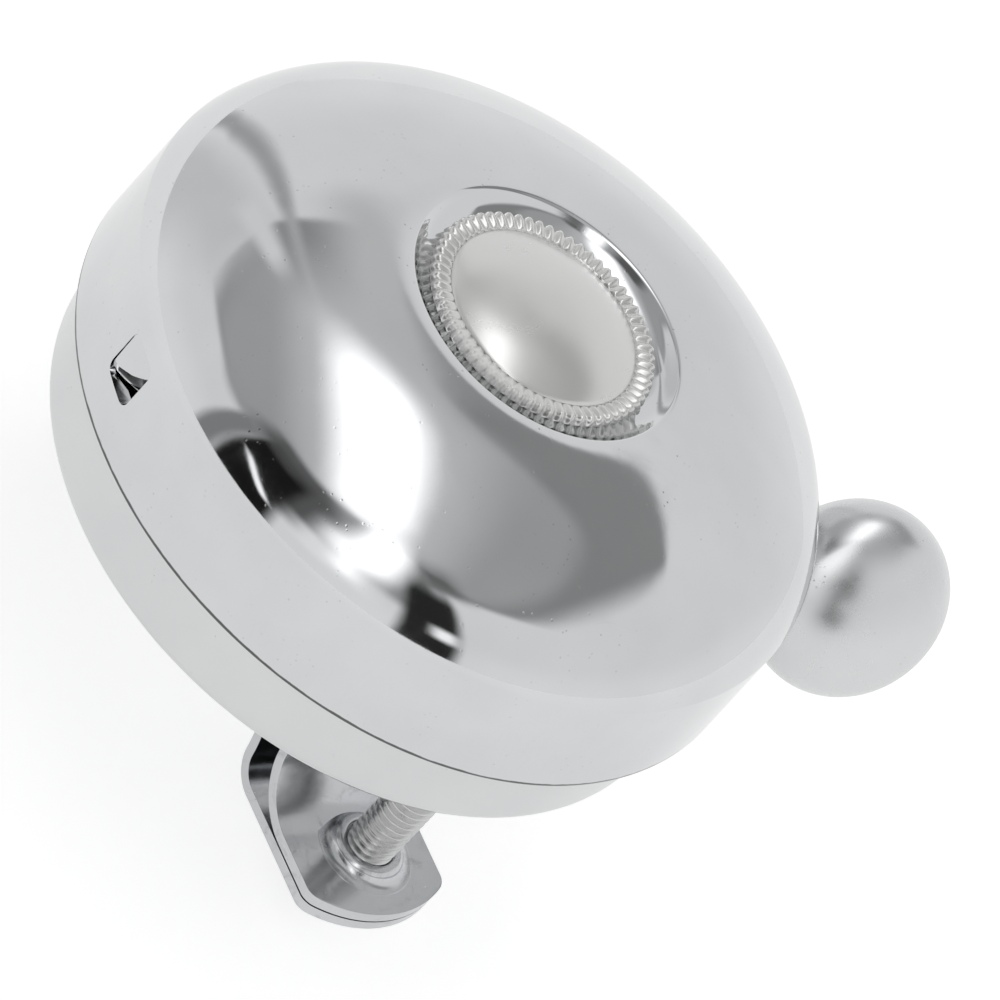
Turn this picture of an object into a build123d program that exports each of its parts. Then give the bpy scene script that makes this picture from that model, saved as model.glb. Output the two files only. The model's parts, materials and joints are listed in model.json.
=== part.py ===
from build123d import *
from math import acos, atan2, cos, degrees, pi, radians, sin, sqrt
import os

# Rotary bicycle bell. Millimetres. The handlebar runs along X and the rider sits on the -Y side.
# +Z is the bell's axis, and the origin is the centre of the handlebar seat in the clamp.

# ---------------------------------------------------------------- driving dimensions

BAR_R = 11.1  # 22.2 mm handlebar

GONG_R = 30.0  # gong at its rim
GONG_SKIRT_TOP_R = 29.75
GONG_SKIRT_H = 9.6
GONG_H = 18.5  # rim to crown
GONG_T = 1.2
RECESS_R = 11.8
RECESS_DEPTH = 1.1

SEAM_Z = 25.4  # the gong's rim
PAN_R = 28.2
PAN_DEPTH = 8.0  # how far the pan hangs below the rim
PAN_LIP = 1.2  # how far the pan's wall reaches up inside the gong
PAN_T = 0.9

CAP_R = 9.8
CAP_DISC_R = 8.0
CAP_FLUTES = 64

STRAP_T = 0.9
STRAP_W = 13.4
STRAP_SHIFT_X = -0.5  # the holes are punched a little off the middle of the strap
STRAP_GAP = 0.15  # air between the two nested straps
EAR_END = 26.4
EAR_CORNER = 24.0
SADDLE_BEND = 5.0  # radius of the saddle's upper face where an ear turns up
FOOT_BEND = 3.0  # radius of the lower strap's under face where an ear turns up
SCREW_Y = 20.5
SCREW_R = 2.0
COLLAR_R = 3.1  # raised, threaded neck round each screw hole of the saddle
COLLAR_H = 1.0

MODULE = 0.8
PRESSURE_ANGLE = 25.0
SECTOR_TEETH = 35  # teeth of the whole wheel that the sector is cut from
IDLER_PINION_TEETH = 10
IDLER_GEAR_TEETH = 26
ROTOR_TEETH = 12
LEVER_TRAVEL = 38.0

RUNNING = 0.05  # radial play of a part that turns on its pin

# ---------------------------------------------------------------- levels along Z

PAN_BOTTOM = SEAM_Z - PAN_DEPTH
FLOOR = PAN_BOTTOM + PAN_T
PAN_TOP = SEAM_Z + PAN_LIP

PLATE_T = 1.6
LEVER_Z = FLOOR + 1.1
LEVER_TOP = LEVER_Z + PLATE_T
PINION_Z = LEVER_Z - 0.3
GEAR_T = 1.4
GEAR_Z = LEVER_TOP + 0.8
GEAR_TOP = GEAR_Z + GEAR_T
ROTOR_Z = GEAR_Z - 0.4
ROTOR_TEETH_TOP = GEAR_TOP + 0.4
ARM_Z = SEAM_Z + 2.0
ARM_T = 1.4
ARM_TOP = ARM_Z + ARM_T
DISC_T = 2.4
DISC_Z = ARM_TOP + 0.3
SHOULDER_Z = ARM_TOP + 0.2
RECESS_FLOOR = SEAM_Z + GONG_H - RECESS_DEPTH
SEAT_TOP = RECESS_FLOOR - GONG_T
CAP_TOP = SEAM_Z + GONG_H + 0.9

STRAP_TOP = STRAP_T  # upper face of the strap's ears, whose underside is at the bar's centre
SADDLE_Z = STRAP_TOP + STRAP_GAP
SADDLE_EAR_TOP = SADDLE_Z + STRAP_T
SADDLE_SIDE = BAR_R + STRAP_T + 1.0  # inner face of the saddle's side walls, from the middle

# ---------------------------------------------------------------- places in plan

POST_R = 2.5
POST_NECK_R = 2.0  # where the post is riveted through the pan and the saddle
STUD_R = 2.0  # the post's top, inside the seat and the cap nut
PIN_R = 1.8
PIN_SHANK_R = 1.5  # the lever pin in the pan
PIN_NECK_R = 1.2  # the lever pin in its washer
IDLER_R = 1.5
IDLER_SHANK_R = 1.3
IDLER_NECK_R = 1.0

LEVER_PIVOT = (19.5, 0.0)
SECTOR_R = MODULE * SECTOR_TEETH / 2
IDLER_PINION_R = MODULE * IDLER_PINION_TEETH / 2
IDLER_GEAR_R = MODULE * IDLER_GEAR_TEETH / 2
ROTOR_R = MODULE * ROTOR_TEETH / 2
IDLER_REACH = IDLER_GEAR_R + ROTOR_R
MESH = SECTOR_R + IDLER_PINION_R
IDLER_ANGLE = degrees(acos((LEVER_PIVOT[0] ** 2 + IDLER_REACH**2 - MESH**2) / (2 * LEVER_PIVOT[0] * IDLER_REACH)))
IDLER_AT = (IDLER_REACH * cos(radians(IDLER_ANGLE)), IDLER_REACH * sin(radians(IDLER_ANGLE)))
MESH_ANGLE = degrees(atan2(IDLER_AT[1] - LEVER_PIVOT[1], IDLER_AT[0] - LEVER_PIVOT[0]))

KNOB_AT = (37.9, -14.3, SEAM_Z - 1.0)
KNOB_R = 8.3
KNOB_FRONT = 5.2  # bulge in front of the widest circle
KNOB_BACK = 2.6
KNOB_RIM = 3.9  # radius of the rounded rim
FACE_ANGLE = -111.2  # compass direction of the knob's face, from +X towards +Y
KNOB_LIFT = 27.0  # the face looks up this far from level
FACE_OUT = (
    cos(radians(KNOB_LIFT)) * cos(radians(FACE_ANGLE)),
    cos(radians(KNOB_LIFT)) * sin(radians(FACE_ANGLE)),
    sin(radians(KNOB_LIFT)),
)
FACE_SIDE = (-sin(radians(FACE_ANGLE)), cos(radians(FACE_ANGLE)), 0.0)
knob_plane = Plane(origin=KNOB_AT, x_dir=FACE_SIDE, z_dir=FACE_OUT)
tab_plane = knob_plane.offset(-KNOB_BACK)
TAB_DROP = ((knob_plane.offset(-KNOB_BACK - PLATE_T / 2)).origin.Z - LEVER_Z - PLATE_T / 2) / knob_plane.y_dir.Z
tab_foot = knob_plane.offset(-KNOB_BACK - PLATE_T / 2).from_local_coords((0, -TAB_DROP, 0))
ARM_ANGLE = degrees(atan2(tab_foot.Y - LEVER_PIVOT[1], tab_foot.X - LEVER_PIVOT[0]))
ARM_LENGTH = sqrt((tab_foot.X - LEVER_PIVOT[0]) ** 2 + (tab_foot.Y - LEVER_PIVOT[1]) ** 2)

STRIKER_REACH = 18.0
STRIKER_R = 7.3

LUG_ANGLES = (167.0, 347.0)  # where the lugs leave the wall
LUG_SPAN = 7.2  # degrees of skirt that a lug takes
LUG_LOW = 3.8
LUG_HIGH = 8.2
LUG_DEPTH = 2.2

os.makedirs("parts", exist_ok=True)


def save(piece, name):
    """Labels a finished piece and writes its STEP file."""
    piece.part.label = name
    export_step(piece.part, f"parts/{name}.step")


def around(angle, reach, z=0.0):
    """A point by compass angle and distance from the bell's axis."""
    return (reach * cos(radians(angle)), reach * sin(radians(angle)), z)


# ---------------------------------------------------------------- gears


def involute_angle(radius, base):
    """Polar angle, in radians, that an involute of this base circle has turned through at a radius."""
    if radius <= base:
        return 0.0
    roll = sqrt((radius / base) ** 2 - 1)
    return roll - atan2(roll, 1)


def gear_points(teeth, first_tooth, addendum=0.85, dedendum=1.1, backlash=0.07):
    """Outline of a spur gear about the origin, with a tooth centred on the angle first_tooth, in degrees."""
    pitch_r = MODULE * teeth / 2
    base_r = pitch_r * cos(radians(PRESSURE_ANGLE))
    tip_r = pitch_r + addendum * MODULE
    root_r = pitch_r - dedendum * MODULE
    half_at_pitch = pi / (2 * teeth) - backlash / pitch_r
    flank = [max(base_r, root_r) + step / 4 * (tip_r - max(base_r, root_r)) for step in range(5)]
    half = [half_at_pitch + involute_angle(pitch_r, base_r) - involute_angle(r, base_r) for r in flank]
    if root_r < base_r:
        flank.insert(0, root_r)
        half.insert(0, half[0])
    points = []
    for tooth in range(teeth):
        middle = radians(first_tooth) + 2 * pi * tooth / teeth
        points += [(r * cos(middle - h), r * sin(middle - h)) for r, h in zip(flank, half)]
        points += [(r * cos(middle + h), r * sin(middle + h)) for r, h in zip(flank[::-1], half[::-1])]
    return points


# ---------------------------------------------------------------- gong and cap

RIM = (GONG_R, SEAM_Z)
SKIRT_TOP = (GONG_SKIRT_TOP_R, SEAM_Z + GONG_SKIRT_H)
SHOULDER = (26.6, SEAM_Z + 13.9)
CROWN = (RECESS_R, SEAM_Z + GONG_H)
BOSS_R = 3.9
GONG_HOLE_R = BOSS_R + 0.2


def gong_shell():
    """The gong as one wall of even thickness: skirt, shoulder arc, dome arc, recess."""
    with BuildPart() as shell:
        with BuildSketch(Plane.XZ):
            with BuildLine():
                Line(RIM, SKIRT_TOP)
                corner = TangentArc(SKIRT_TOP, SHOULDER, tangent=(-0.307, 0.952))
                dome = TangentArc(SHOULDER, CROWN, tangent=corner % 1)
                roll = TangentArc(CROWN, (RECESS_R - 0.7, RECESS_FLOOR + 0.45), tangent=dome % 1)
                Line(roll @ 1, (RECESS_R - 1.0, RECESS_FLOOR))
                Line((RECESS_R - 1.0, RECESS_FLOOR), (GONG_HOLE_R, RECESS_FLOOR))
                offset(amount=GONG_T, side=Side.LEFT)
            make_face()
        revolve(axis=Axis.Z)
    return shell.part


def lug(angle):
    """A strike lug: a tab cut on three sides, still joined to the wall at its first edge and bent inwards."""
    wall_r = GONG_R - 0.15
    start = around(angle, wall_r - GONG_T)
    tip = around(angle + LUG_SPAN, wall_r - GONG_T - LUG_DEPTH)
    back = around(angle - 1.2, wall_r - 0.45)
    outer_start = around(angle + 0.6, wall_r - 0.35)
    outer_tip = around(angle + LUG_SPAN + 0.6, wall_r - LUG_DEPTH)
    with BuildPart() as tab:
        with BuildSketch(Plane.XY.offset(SEAM_Z + LUG_LOW + 0.15)):
            with BuildLine():
                Polyline(back[:2], start[:2], tip[:2], outer_tip[:2], outer_start[:2], close=True)
            make_face()
        extrude(amount=LUG_HIGH - LUG_LOW - 0.3)
    return tab.part


def lug_window(angle):
    """The hole that a bent-in lug leaves in the skirt."""
    middle = angle + LUG_SPAN / 2 + 0.4
    width = 2 * GONG_R * sin(radians(LUG_SPAN / 2))
    face = Plane(origin=around(middle, GONG_R - 4, SEAM_Z + (LUG_LOW + LUG_HIGH) / 2), z_dir=around(middle, 1))
    with BuildPart() as window:
        with BuildSketch(face):
            RectangleRounded(width, LUG_HIGH - LUG_LOW, 0.8)
        extrude(amount=6)
    return window.part


gong_wall = gong_shell()
with BuildPart() as gong:
    add(gong_wall)
    for lug_angle in LUG_ANGLES:
        add(lug_window(lug_angle), mode=Mode.SUBTRACT)
        add(lug(lug_angle))
save(gong, "gong")

CAP_EDGE_Z = SEAM_Z + GONG_H - 0.1
CAP_DISC_Z = CAP_EDGE_Z - 0.3
CAP_RISE = CAP_TOP - CAP_DISC_Z
CAP_SPHERE_R = (CAP_DISC_R**2 + CAP_RISE**2) / (2 * CAP_RISE)
CAP_MIDWAY = CAP_TOP - CAP_SPHERE_R + sqrt(CAP_SPHERE_R**2 - (CAP_DISC_R / 2) ** 2)
with BuildPart() as gong_cap:
    with BuildSketch(Plane.XZ):
        with BuildLine():
            Line((0, CAP_TOP), (0, RECESS_FLOOR + 0.6))
            Line((0, RECESS_FLOOR + 0.6), (STUD_R + RUNNING, RECESS_FLOOR + 0.4))
            Line((STUD_R + RUNNING, RECESS_FLOOR + 0.4), (STUD_R + RUNNING, SEAT_TOP - 4))
            Line((STUD_R + RUNNING, SEAT_TOP - 4), (BOSS_R, SEAT_TOP - 4))
            Line((BOSS_R, SEAT_TOP - 4), (BOSS_R, RECESS_FLOOR))
            Line((BOSS_R, RECESS_FLOOR), (CAP_R - 0.3, RECESS_FLOOR))
            Line((CAP_R - 0.3, RECESS_FLOOR), (CAP_R, RECESS_FLOOR + 0.3))
            Line((CAP_R, RECESS_FLOOR + 0.3), (CAP_R, CAP_EDGE_Z - 0.5))
            ThreePointArc((CAP_R, CAP_EDGE_Z - 0.5), (CAP_R - 0.9, CAP_EDGE_Z), (CAP_DISC_R, CAP_DISC_Z))
            ThreePointArc((CAP_DISC_R, CAP_DISC_Z), (CAP_DISC_R / 2, CAP_MIDWAY), (0, CAP_TOP))
        make_face()
    revolve(axis=Axis.Z)
    with PolarLocations((CAP_R + CAP_DISC_R) / 2 + 0.3, CAP_FLUTES):
        with Locations((0, 0, CAP_EDGE_Z + 0.22)):
            Cylinder(0.4, CAP_R - CAP_DISC_R + 0.6, rotation=(0, 90, 0), mode=Mode.SUBTRACT)
save(gong_cap, "gong_cap")

# ---------------------------------------------------------------- post, seat and pan

FLANGE_R = 2.9
with BuildPart() as centre_post:
    with BuildSketch(Plane.XZ):
        with BuildLine():
            Polyline(
                (0, PAN_BOTTOM - STRAP_T - 0.8),
                (FLANGE_R - 0.3, PAN_BOTTOM - STRAP_T - 0.8),
                (FLANGE_R, PAN_BOTTOM - STRAP_T - 0.4),
                (FLANGE_R, PAN_BOTTOM - STRAP_T),
                (POST_NECK_R, PAN_BOTTOM - STRAP_T),
                (POST_NECK_R, FLOOR),
                (FLANGE_R, FLOOR),
                (FLANGE_R, ROTOR_Z - 0.1),
                (POST_R, ROTOR_Z - 0.1),
                (POST_R, SHOULDER_Z),
                (STUD_R, SHOULDER_Z),
                (STUD_R, RECESS_FLOOR + 0.2),
                (0, RECESS_FLOOR + 0.2),
                close=True,
            )
        make_face()
    revolve(axis=Axis.Z)
save(centre_post, "centre_post")

SLEEVE_R = 3.6
SEAT_CUP_R = 5.4
SEAT_FLANGE_R = 8.0
with BuildPart() as gong_seat:
    with BuildSketch(Plane.XZ):
        with BuildLine():
            Polyline(
                (STUD_R, SHOULDER_Z),
                (SLEEVE_R, SHOULDER_Z),
                (SLEEVE_R, SEAT_TOP - 5.6),
                (SEAT_CUP_R, SEAT_TOP - 4.6),
                (SEAT_CUP_R, SEAT_TOP - 1.0),
                (SEAT_FLANGE_R, SEAT_TOP - 1.0),
                (SEAT_FLANGE_R, SEAT_TOP),
                (BOSS_R + 0.1, SEAT_TOP),
                (BOSS_R + 0.1, SEAT_TOP - 4.4),
                (STUD_R, SEAT_TOP - 4.4),
                close=True,
            )
        make_face()
    revolve(axis=Axis.Z)
save(gong_seat, "gong_seat")

RIVET_Y = 5.0
RIVET_R = 1.2
SPRING_POST_AT = (23.7, 5.4)
SPRING_POST_R = 0.9


def arm_crossing(direction):
    """Compass angle, seen from the bell's axis, where the lever's middle line crosses the pan's wall."""
    along = LEVER_PIVOT[0] * cos(radians(direction))
    reach = -along + sqrt(along**2 + PAN_R**2 - LEVER_PIVOT[0] ** 2)
    return degrees(atan2(reach * sin(radians(direction)), LEVER_PIVOT[0] + reach * cos(radians(direction))))


ARM_HALF_W = 3.5
SLOT_SPARE = 9.6  # degrees of wall that half the arm's width and its play take
SLOT_FROM = arm_crossing(ARM_ANGLE) - SLOT_SPARE
SLOT_TO = arm_crossing(ARM_ANGLE + LEVER_TRAVEL) + SLOT_SPARE - 1.4
SLOT_LOW = LEVER_Z - 0.45
SLOT_HIGH = LEVER_TOP + 0.45

with BuildPart() as base_pan:
    with BuildSketch(Plane.XZ):
        with BuildLine():
            Line((0, PAN_BOTTOM), (PAN_R - 1.4, PAN_BOTTOM))
            TangentArc((PAN_R - 1.4, PAN_BOTTOM), (PAN_R - 0.1, PAN_BOTTOM + 1.3), tangent=(1, 0))
            Line((PAN_R - 0.1, PAN_BOTTOM + 1.3), (PAN_R, PAN_TOP))
            offset(amount=PAN_T, side=Side.LEFT)
        make_face()
    revolve(axis=Axis.Z)
    with BuildSketch(Plane.XY.offset(SLOT_LOW)):
        with BuildLine():
            slot_near = Line(around(SLOT_FROM, PAN_R - 3)[:2], around(SLOT_FROM, PAN_R + 2)[:2])
            slot_far = Line(around(SLOT_TO, PAN_R + 2)[:2], around(SLOT_TO, PAN_R - 3)[:2])
            slot_middle = (SLOT_FROM + SLOT_TO) / 2
            ThreePointArc(slot_near @ 1, around(slot_middle, PAN_R + 2)[:2], slot_far @ 0)
            ThreePointArc(slot_far @ 1, around(slot_middle, PAN_R - 3)[:2], slot_near @ 0)
        make_face()
    extrude(amount=SLOT_HIGH - SLOT_LOW, mode=Mode.SUBTRACT)
    with BuildSketch(Plane.XY.offset(PAN_BOTTOM - 1)):
        Circle(POST_NECK_R)
        with Locations((0, -RIVET_Y), (0, RIVET_Y)):
            Circle(RIVET_R)
        with Locations(LEVER_PIVOT):
            Circle(PIN_SHANK_R)
        with Locations(IDLER_AT):
            Circle(IDLER_SHANK_R)
        with Locations(SPRING_POST_AT):
            Circle(SPRING_POST_R)
    extrude(amount=3, mode=Mode.SUBTRACT)
save(base_pan, "base_pan")

# ---------------------------------------------------------------- handlebar clamp

HEAD_H = 2.6
WASHER_T = 0.8


def strap_blank():
    """The block that gives a strap its outline from above: straight sides and bowed ends."""
    low = STRAP_SHIFT_X - STRAP_W / 2
    high = STRAP_SHIFT_X + STRAP_W / 2
    with BuildPart() as blank:
        with BuildSketch(Plane.XY.offset(-5)):
            with BuildLine():
                Line((high, -EAR_CORNER), (high, EAR_CORNER))
                ThreePointArc((high, EAR_CORNER), (STRAP_SHIFT_X, EAR_END), (low, EAR_CORNER))
                Line((low, EAR_CORNER), (low, -EAR_CORNER))
                ThreePointArc((low, -EAR_CORNER), (STRAP_SHIFT_X, -EAR_END), (high, -EAR_CORNER))
            make_face()
            fillet(vertices(), 0.6)
        extrude(amount=40)
    return blank.part


SADDLE_CROWN_R = 6.5
SADDLE_CROWN_Z = PAN_BOTTOM - STRAP_T
EAR_Y = SADDLE_SIDE + SADDLE_BEND + STRAP_T  # where the flat of an ear ends
SIDE_Z = SADDLE_Z + SADDLE_BEND + STRAP_T  # where the straight side begins
with BuildPart() as clamp_saddle:
    with BuildSketch(Plane.YZ.offset(-30)):
        with BuildLine():
            ear = Line((-30, SADDLE_Z), (-EAR_Y, SADDLE_Z))
            side = Line((-SADDLE_SIDE, SIDE_Z), (-SADDLE_SIDE, SADDLE_CROWN_Z - SADDLE_CROWN_R))
            TangentArc(ear @ 1, side @ 0, tangent=(1, 0))
            top = Line((-SADDLE_SIDE + SADDLE_CROWN_R, SADDLE_CROWN_Z), (SADDLE_SIDE - SADDLE_CROWN_R, SADDLE_CROWN_Z))
            TangentArc(side @ 1, top @ 0, tangent=(0, 1))
            side_far = Line((SADDLE_SIDE, SADDLE_CROWN_Z - SADDLE_CROWN_R), (SADDLE_SIDE, SIDE_Z))
            TangentArc(top @ 1, side_far @ 0, tangent=(1, 0))
            ear_far = Line((EAR_Y, SADDLE_Z), (30, SADDLE_Z))
            TangentArc(side_far @ 1, ear_far @ 0, tangent=(0, -1))
            offset(amount=STRAP_T, side=Side.LEFT)
        make_face()
    extrude(amount=60)
    add(strap_blank(), mode=Mode.INTERSECT)
    with BuildSketch(Plane.XY.offset(SADDLE_EAR_TOP)):
        with Locations((0, SCREW_Y), (0, -SCREW_Y)):
            Circle(COLLAR_R)
    extrude(amount=COLLAR_H)
    with BuildSketch(Plane.XY.offset(SADDLE_Z - 1)):
        with Locations((0, SCREW_Y), (0, -SCREW_Y)):
            Circle(SCREW_R + RUNNING)
    extrude(amount=6, mode=Mode.SUBTRACT)
    with BuildSketch(Plane.XY.offset(PAN_BOTTOM - 4)):
        Circle(POST_NECK_R)
        with Locations((0, -RIVET_Y), (0, RIVET_Y)):
            Circle(RIVET_R)
    extrude(amount=6, mode=Mode.SUBTRACT)
save(clamp_saddle, "clamp_saddle")

FOOT_Y = sqrt(BAR_R**2 + 2 * BAR_R * FOOT_BEND)  # where the flat of an ear ends
FOOT_SHARE = BAR_R / (BAR_R + FOOT_BEND)
FOOT_JOIN = (FOOT_Y * FOOT_SHARE, FOOT_BEND * FOOT_SHARE)
with BuildPart() as clamp_strap:
    with BuildSketch(Plane.YZ.offset(-30)):
        with BuildLine():
            strap_ear = Line((-30, 0), (-FOOT_Y, 0))
            strap_foot = TangentArc(strap_ear @ 1, (-FOOT_JOIN[0], FOOT_JOIN[1]), tangent=(1, 0))
            ThreePointArc(strap_foot @ 1, (0, BAR_R), FOOT_JOIN)
            TangentArc((FOOT_Y, 0), FOOT_JOIN, tangent=(-1, 0))
            Line((FOOT_Y, 0), (30, 0))
            offset(amount=STRAP_T, side=Side.LEFT)
        make_face()
    extrude(amount=60)
    add(strap_blank(), mode=Mode.INTERSECT)
    with BuildSketch(Plane.XY.offset(-1)):
        with Locations((0, SCREW_Y), (0, -SCREW_Y)):
            Circle(SCREW_R + 0.2)
    extrude(amount=6, mode=Mode.SUBTRACT)
save(clamp_strap, "clamp_strap")

SCREW_LENGTH = 16.0
HEAD_R = 3.7
WASHER_R = 4.3
DRIVER_SLOT_W = 1.1
with BuildPart() as clamp_screws:
    with BuildSketch(Plane.XZ):
        with BuildLine():
            Polyline(
                (0, -WASHER_T - HEAD_H),
                (HEAD_R - 0.9, -WASHER_T - HEAD_H),
                (HEAD_R, -WASHER_T - HEAD_H + 0.9),
                (HEAD_R, -WASHER_T),
                (SCREW_R, -WASHER_T),
                (SCREW_R, SCREW_LENGTH - WASHER_T - 0.5),
                (SCREW_R - 0.5, SCREW_LENGTH - WASHER_T),
                (0, SCREW_LENGTH - WASHER_T),
                close=True,
            )
        make_face()
    revolve(axis=Axis.Z)
    with Locations((0, 0, -WASHER_T - HEAD_H)):
        Box(9, DRIVER_SLOT_W, 2.4, mode=Mode.SUBTRACT)
one_screw = clamp_screws.part
with BuildPart() as clamp_screws:
    with Locations((0, SCREW_Y, 0), (0, -SCREW_Y, 0)):
        add(one_screw)
save(clamp_screws, "clamp_screws")

with BuildPart() as clamp_washers:
    with BuildSketch(Plane.XY.offset(-WASHER_T)):
        with Locations((0, SCREW_Y), (0, -SCREW_Y)):
            Circle(WASHER_R)
            Circle(SCREW_R + 0.15, mode=Mode.SUBTRACT)
    extrude(amount=WASHER_T)
save(clamp_washers, "clamp_washers")

RIVET_HEAD_R = 1.8
with BuildPart() as one_rivet:
    with BuildSketch(Plane.XZ):
        with BuildLine():
            Polyline(
                (0, PAN_BOTTOM - STRAP_T - 0.7),
                (RIVET_HEAD_R - 0.4, PAN_BOTTOM - STRAP_T - 0.7),
                (RIVET_HEAD_R, PAN_BOTTOM - STRAP_T - 0.3),
                (RIVET_HEAD_R, PAN_BOTTOM - STRAP_T),
                (RIVET_R, PAN_BOTTOM - STRAP_T),
                (RIVET_R, FLOOR),
                (RIVET_HEAD_R, FLOOR),
                (RIVET_HEAD_R, FLOOR + 0.4),
                (RIVET_HEAD_R - 0.5, FLOOR + 0.8),
                (0, FLOOR + 0.8),
                close=True,
            )
        make_face()
    revolve(axis=Axis.Z)
with BuildPart() as saddle_rivets:
    with Locations((0, -RIVET_Y, 0), (0, RIVET_Y, 0)):
        add(one_rivet.part)
save(saddle_rivets, "saddle_rivets")

# ---------------------------------------------------------------- thumb lever and knob

TAB_W = 7.6
TAB_UP = 3.4
KNOB_RIVET_R = 1.3
KNOB_RIVET_HEAD_R = 2.1
KNOB_RIVET_AT = (0, 1.4)

# The knob's front is a rounded rim that runs smoothly into a flatter crown, both centred so that they touch.
CROWN_R = (KNOB_R**2 + KNOB_FRONT**2 - 2 * KNOB_R * KNOB_RIM) / (2 * (KNOB_FRONT - KNOB_RIM))
RIM_ANGLE = atan2(CROWN_R - KNOB_FRONT, KNOB_R - KNOB_RIM)
RIM_JOIN = (CROWN_R * cos(RIM_ANGLE), KNOB_FRONT - CROWN_R + CROWN_R * sin(RIM_ANGLE))
CROWN_MIDWAY = (RIM_ANGLE + pi / 2) / 2
BACK_R = KNOB_R - KNOB_RIM + sqrt(KNOB_RIM**2 - KNOB_BACK**2)

with BuildPart() as thumb_knob:
    with BuildSketch(Plane(origin=KNOB_AT, x_dir=FACE_SIDE, z_dir=Vector(*FACE_SIDE).cross(Vector(*FACE_OUT)))):
        with BuildLine():
            Line((0, KNOB_FRONT), (0, -KNOB_BACK))
            Line((0, -KNOB_BACK), (BACK_R, -KNOB_BACK))
            ThreePointArc((BACK_R, -KNOB_BACK), (KNOB_R, 0), RIM_JOIN)
            ThreePointArc(
                RIM_JOIN,
                (CROWN_R * cos(CROWN_MIDWAY), KNOB_FRONT - CROWN_R + CROWN_R * sin(CROWN_MIDWAY)),
                (0, KNOB_FRONT),
            )
        make_face()
    revolve(axis=Axis(KNOB_AT, FACE_OUT))
    with BuildSketch(tab_plane):
        with Locations(KNOB_RIVET_AT):
            Circle(KNOB_RIVET_R)
    extrude(amount=3.0, mode=Mode.SUBTRACT)
save(thumb_knob, "thumb_knob")

SPRING_WIRE = 0.55
SPRING_R = 2.9
SPRING_STUB_R = 0.7
SPRING_STUB_AT = (SPRING_R - SPRING_WIRE / 2 - SPRING_STUB_R, -3.6)
lever_plane = Plane(origin=(LEVER_PIVOT[0], LEVER_PIVOT[1], LEVER_Z), z_dir=(0, 0, 1))
SECTOR_FROM = MESH_ANGLE - LEVER_TRAVEL - 13
SECTOR_TO = MESH_ANGLE + 13
LEVER_BOSS_R = 4.4


def from_pivot(angle, reach):
    """A point in the lever's plane, by angle and distance from its pivot."""
    return (reach * cos(radians(angle)), reach * sin(radians(angle)))


with BuildPart() as thumb_lever:
    with BuildSketch(lever_plane):
        with BuildLine():
            Polyline(*gear_points(SECTOR_TEETH, MESH_ANGLE), close=True)
        make_face()
        with BuildLine():
            Polyline(
                (0, 0),
                from_pivot(SECTOR_FROM, 20),
                from_pivot((SECTOR_FROM + SECTOR_TO) / 2, 24),
                from_pivot(SECTOR_TO, 20),
                close=True,
            )
        make_face(mode=Mode.INTERSECT)
        Circle(LEVER_BOSS_R)
        with Locations(from_pivot(ARM_ANGLE, ARM_LENGTH / 2)):
            Rectangle(ARM_LENGTH, 2 * ARM_HALF_W, rotation=ARM_ANGLE)
        Circle(PIN_R + RUNNING, mode=Mode.SUBTRACT)
    extrude(amount=PLATE_T)
    with BuildSketch(tab_plane):
        Circle(KNOB_R + 1)
    extrude(amount=12, mode=Mode.SUBTRACT)
    with BuildSketch(tab_plane.offset(-PLATE_T)):
        with Locations((0, (TAB_UP - TAB_DROP) / 2)):
            RectangleRounded(TAB_W, TAB_UP + TAB_DROP + 0.8, 1.2)
    extrude(amount=PLATE_T)
    with BuildSketch(lever_plane.offset(PLATE_T)):
        with Locations(SPRING_STUB_AT):
            Circle(SPRING_STUB_R)
    extrude(amount=1.0)
    with BuildSketch(tab_plane.offset(-PLATE_T - 1)):
        with Locations(KNOB_RIVET_AT):
            Circle(KNOB_RIVET_R)
    extrude(amount=PLATE_T + 2, mode=Mode.SUBTRACT)
save(thumb_lever, "thumb_lever")

with BuildPart() as knob_rivet:
    with BuildSketch(tab_plane.offset(-PLATE_T)):
        with Locations(KNOB_RIVET_AT):
            Circle(KNOB_RIVET_R)
    extrude(amount=PLATE_T + 2.8)
    with BuildSketch(tab_plane.offset(-PLATE_T - 1.0)):
        with Locations(KNOB_RIVET_AT):
            Circle(KNOB_RIVET_HEAD_R)
    extrude(amount=1.0)
    chamfer(knob_rivet.edges().filter_by(GeomType.CIRCLE).group_by(SortBy.RADIUS)[-1], 0.4)
save(knob_rivet, "knob_rivet")

PIN_HEAD_R = 2.2
PIN_FLANGE_R = 3.2
PIN_WASHER_R = 3.0
with BuildPart() as lever_pin:
    with BuildSketch(Plane(origin=(*LEVER_PIVOT, 0), x_dir=(1, 0, 0), z_dir=(0, -1, 0))):
        with BuildLine():
            Polyline(
                (0, PAN_BOTTOM - 0.5),
                (PIN_HEAD_R - 0.2, PAN_BOTTOM - 0.5),
                (PIN_HEAD_R, PAN_BOTTOM - 0.2),
                (PIN_HEAD_R, PAN_BOTTOM),
                (PIN_SHANK_R, PAN_BOTTOM),
                (PIN_SHANK_R, FLOOR),
                (PIN_FLANGE_R, FLOOR),
                (PIN_FLANGE_R, LEVER_Z - 0.15),
                (PIN_R, LEVER_Z - 0.15),
                (PIN_R, GEAR_TOP + 0.6),
                (PIN_NECK_R, GEAR_TOP + 0.6),
                (PIN_NECK_R, GEAR_TOP + 1.5),
                (0, GEAR_TOP + 1.5),
                close=True,
            )
        make_face()
    revolve(axis=Axis((*LEVER_PIVOT, 0), (0, 0, 1)))
save(lever_pin, "lever_pin")

with BuildPart() as lever_washer:
    with BuildSketch(Plane.XY.offset(GEAR_TOP + 0.6)):
        with Locations(LEVER_PIVOT):
            Circle(PIN_WASHER_R)
            Circle(PIN_NECK_R, mode=Mode.SUBTRACT)
    extrude(amount=0.6)
save(lever_washer, "lever_washer")

SPRING_TURNS = 3
SPRING_PITCH = 0.64
SPRING_Z = LEVER_TOP + 0.55

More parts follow.
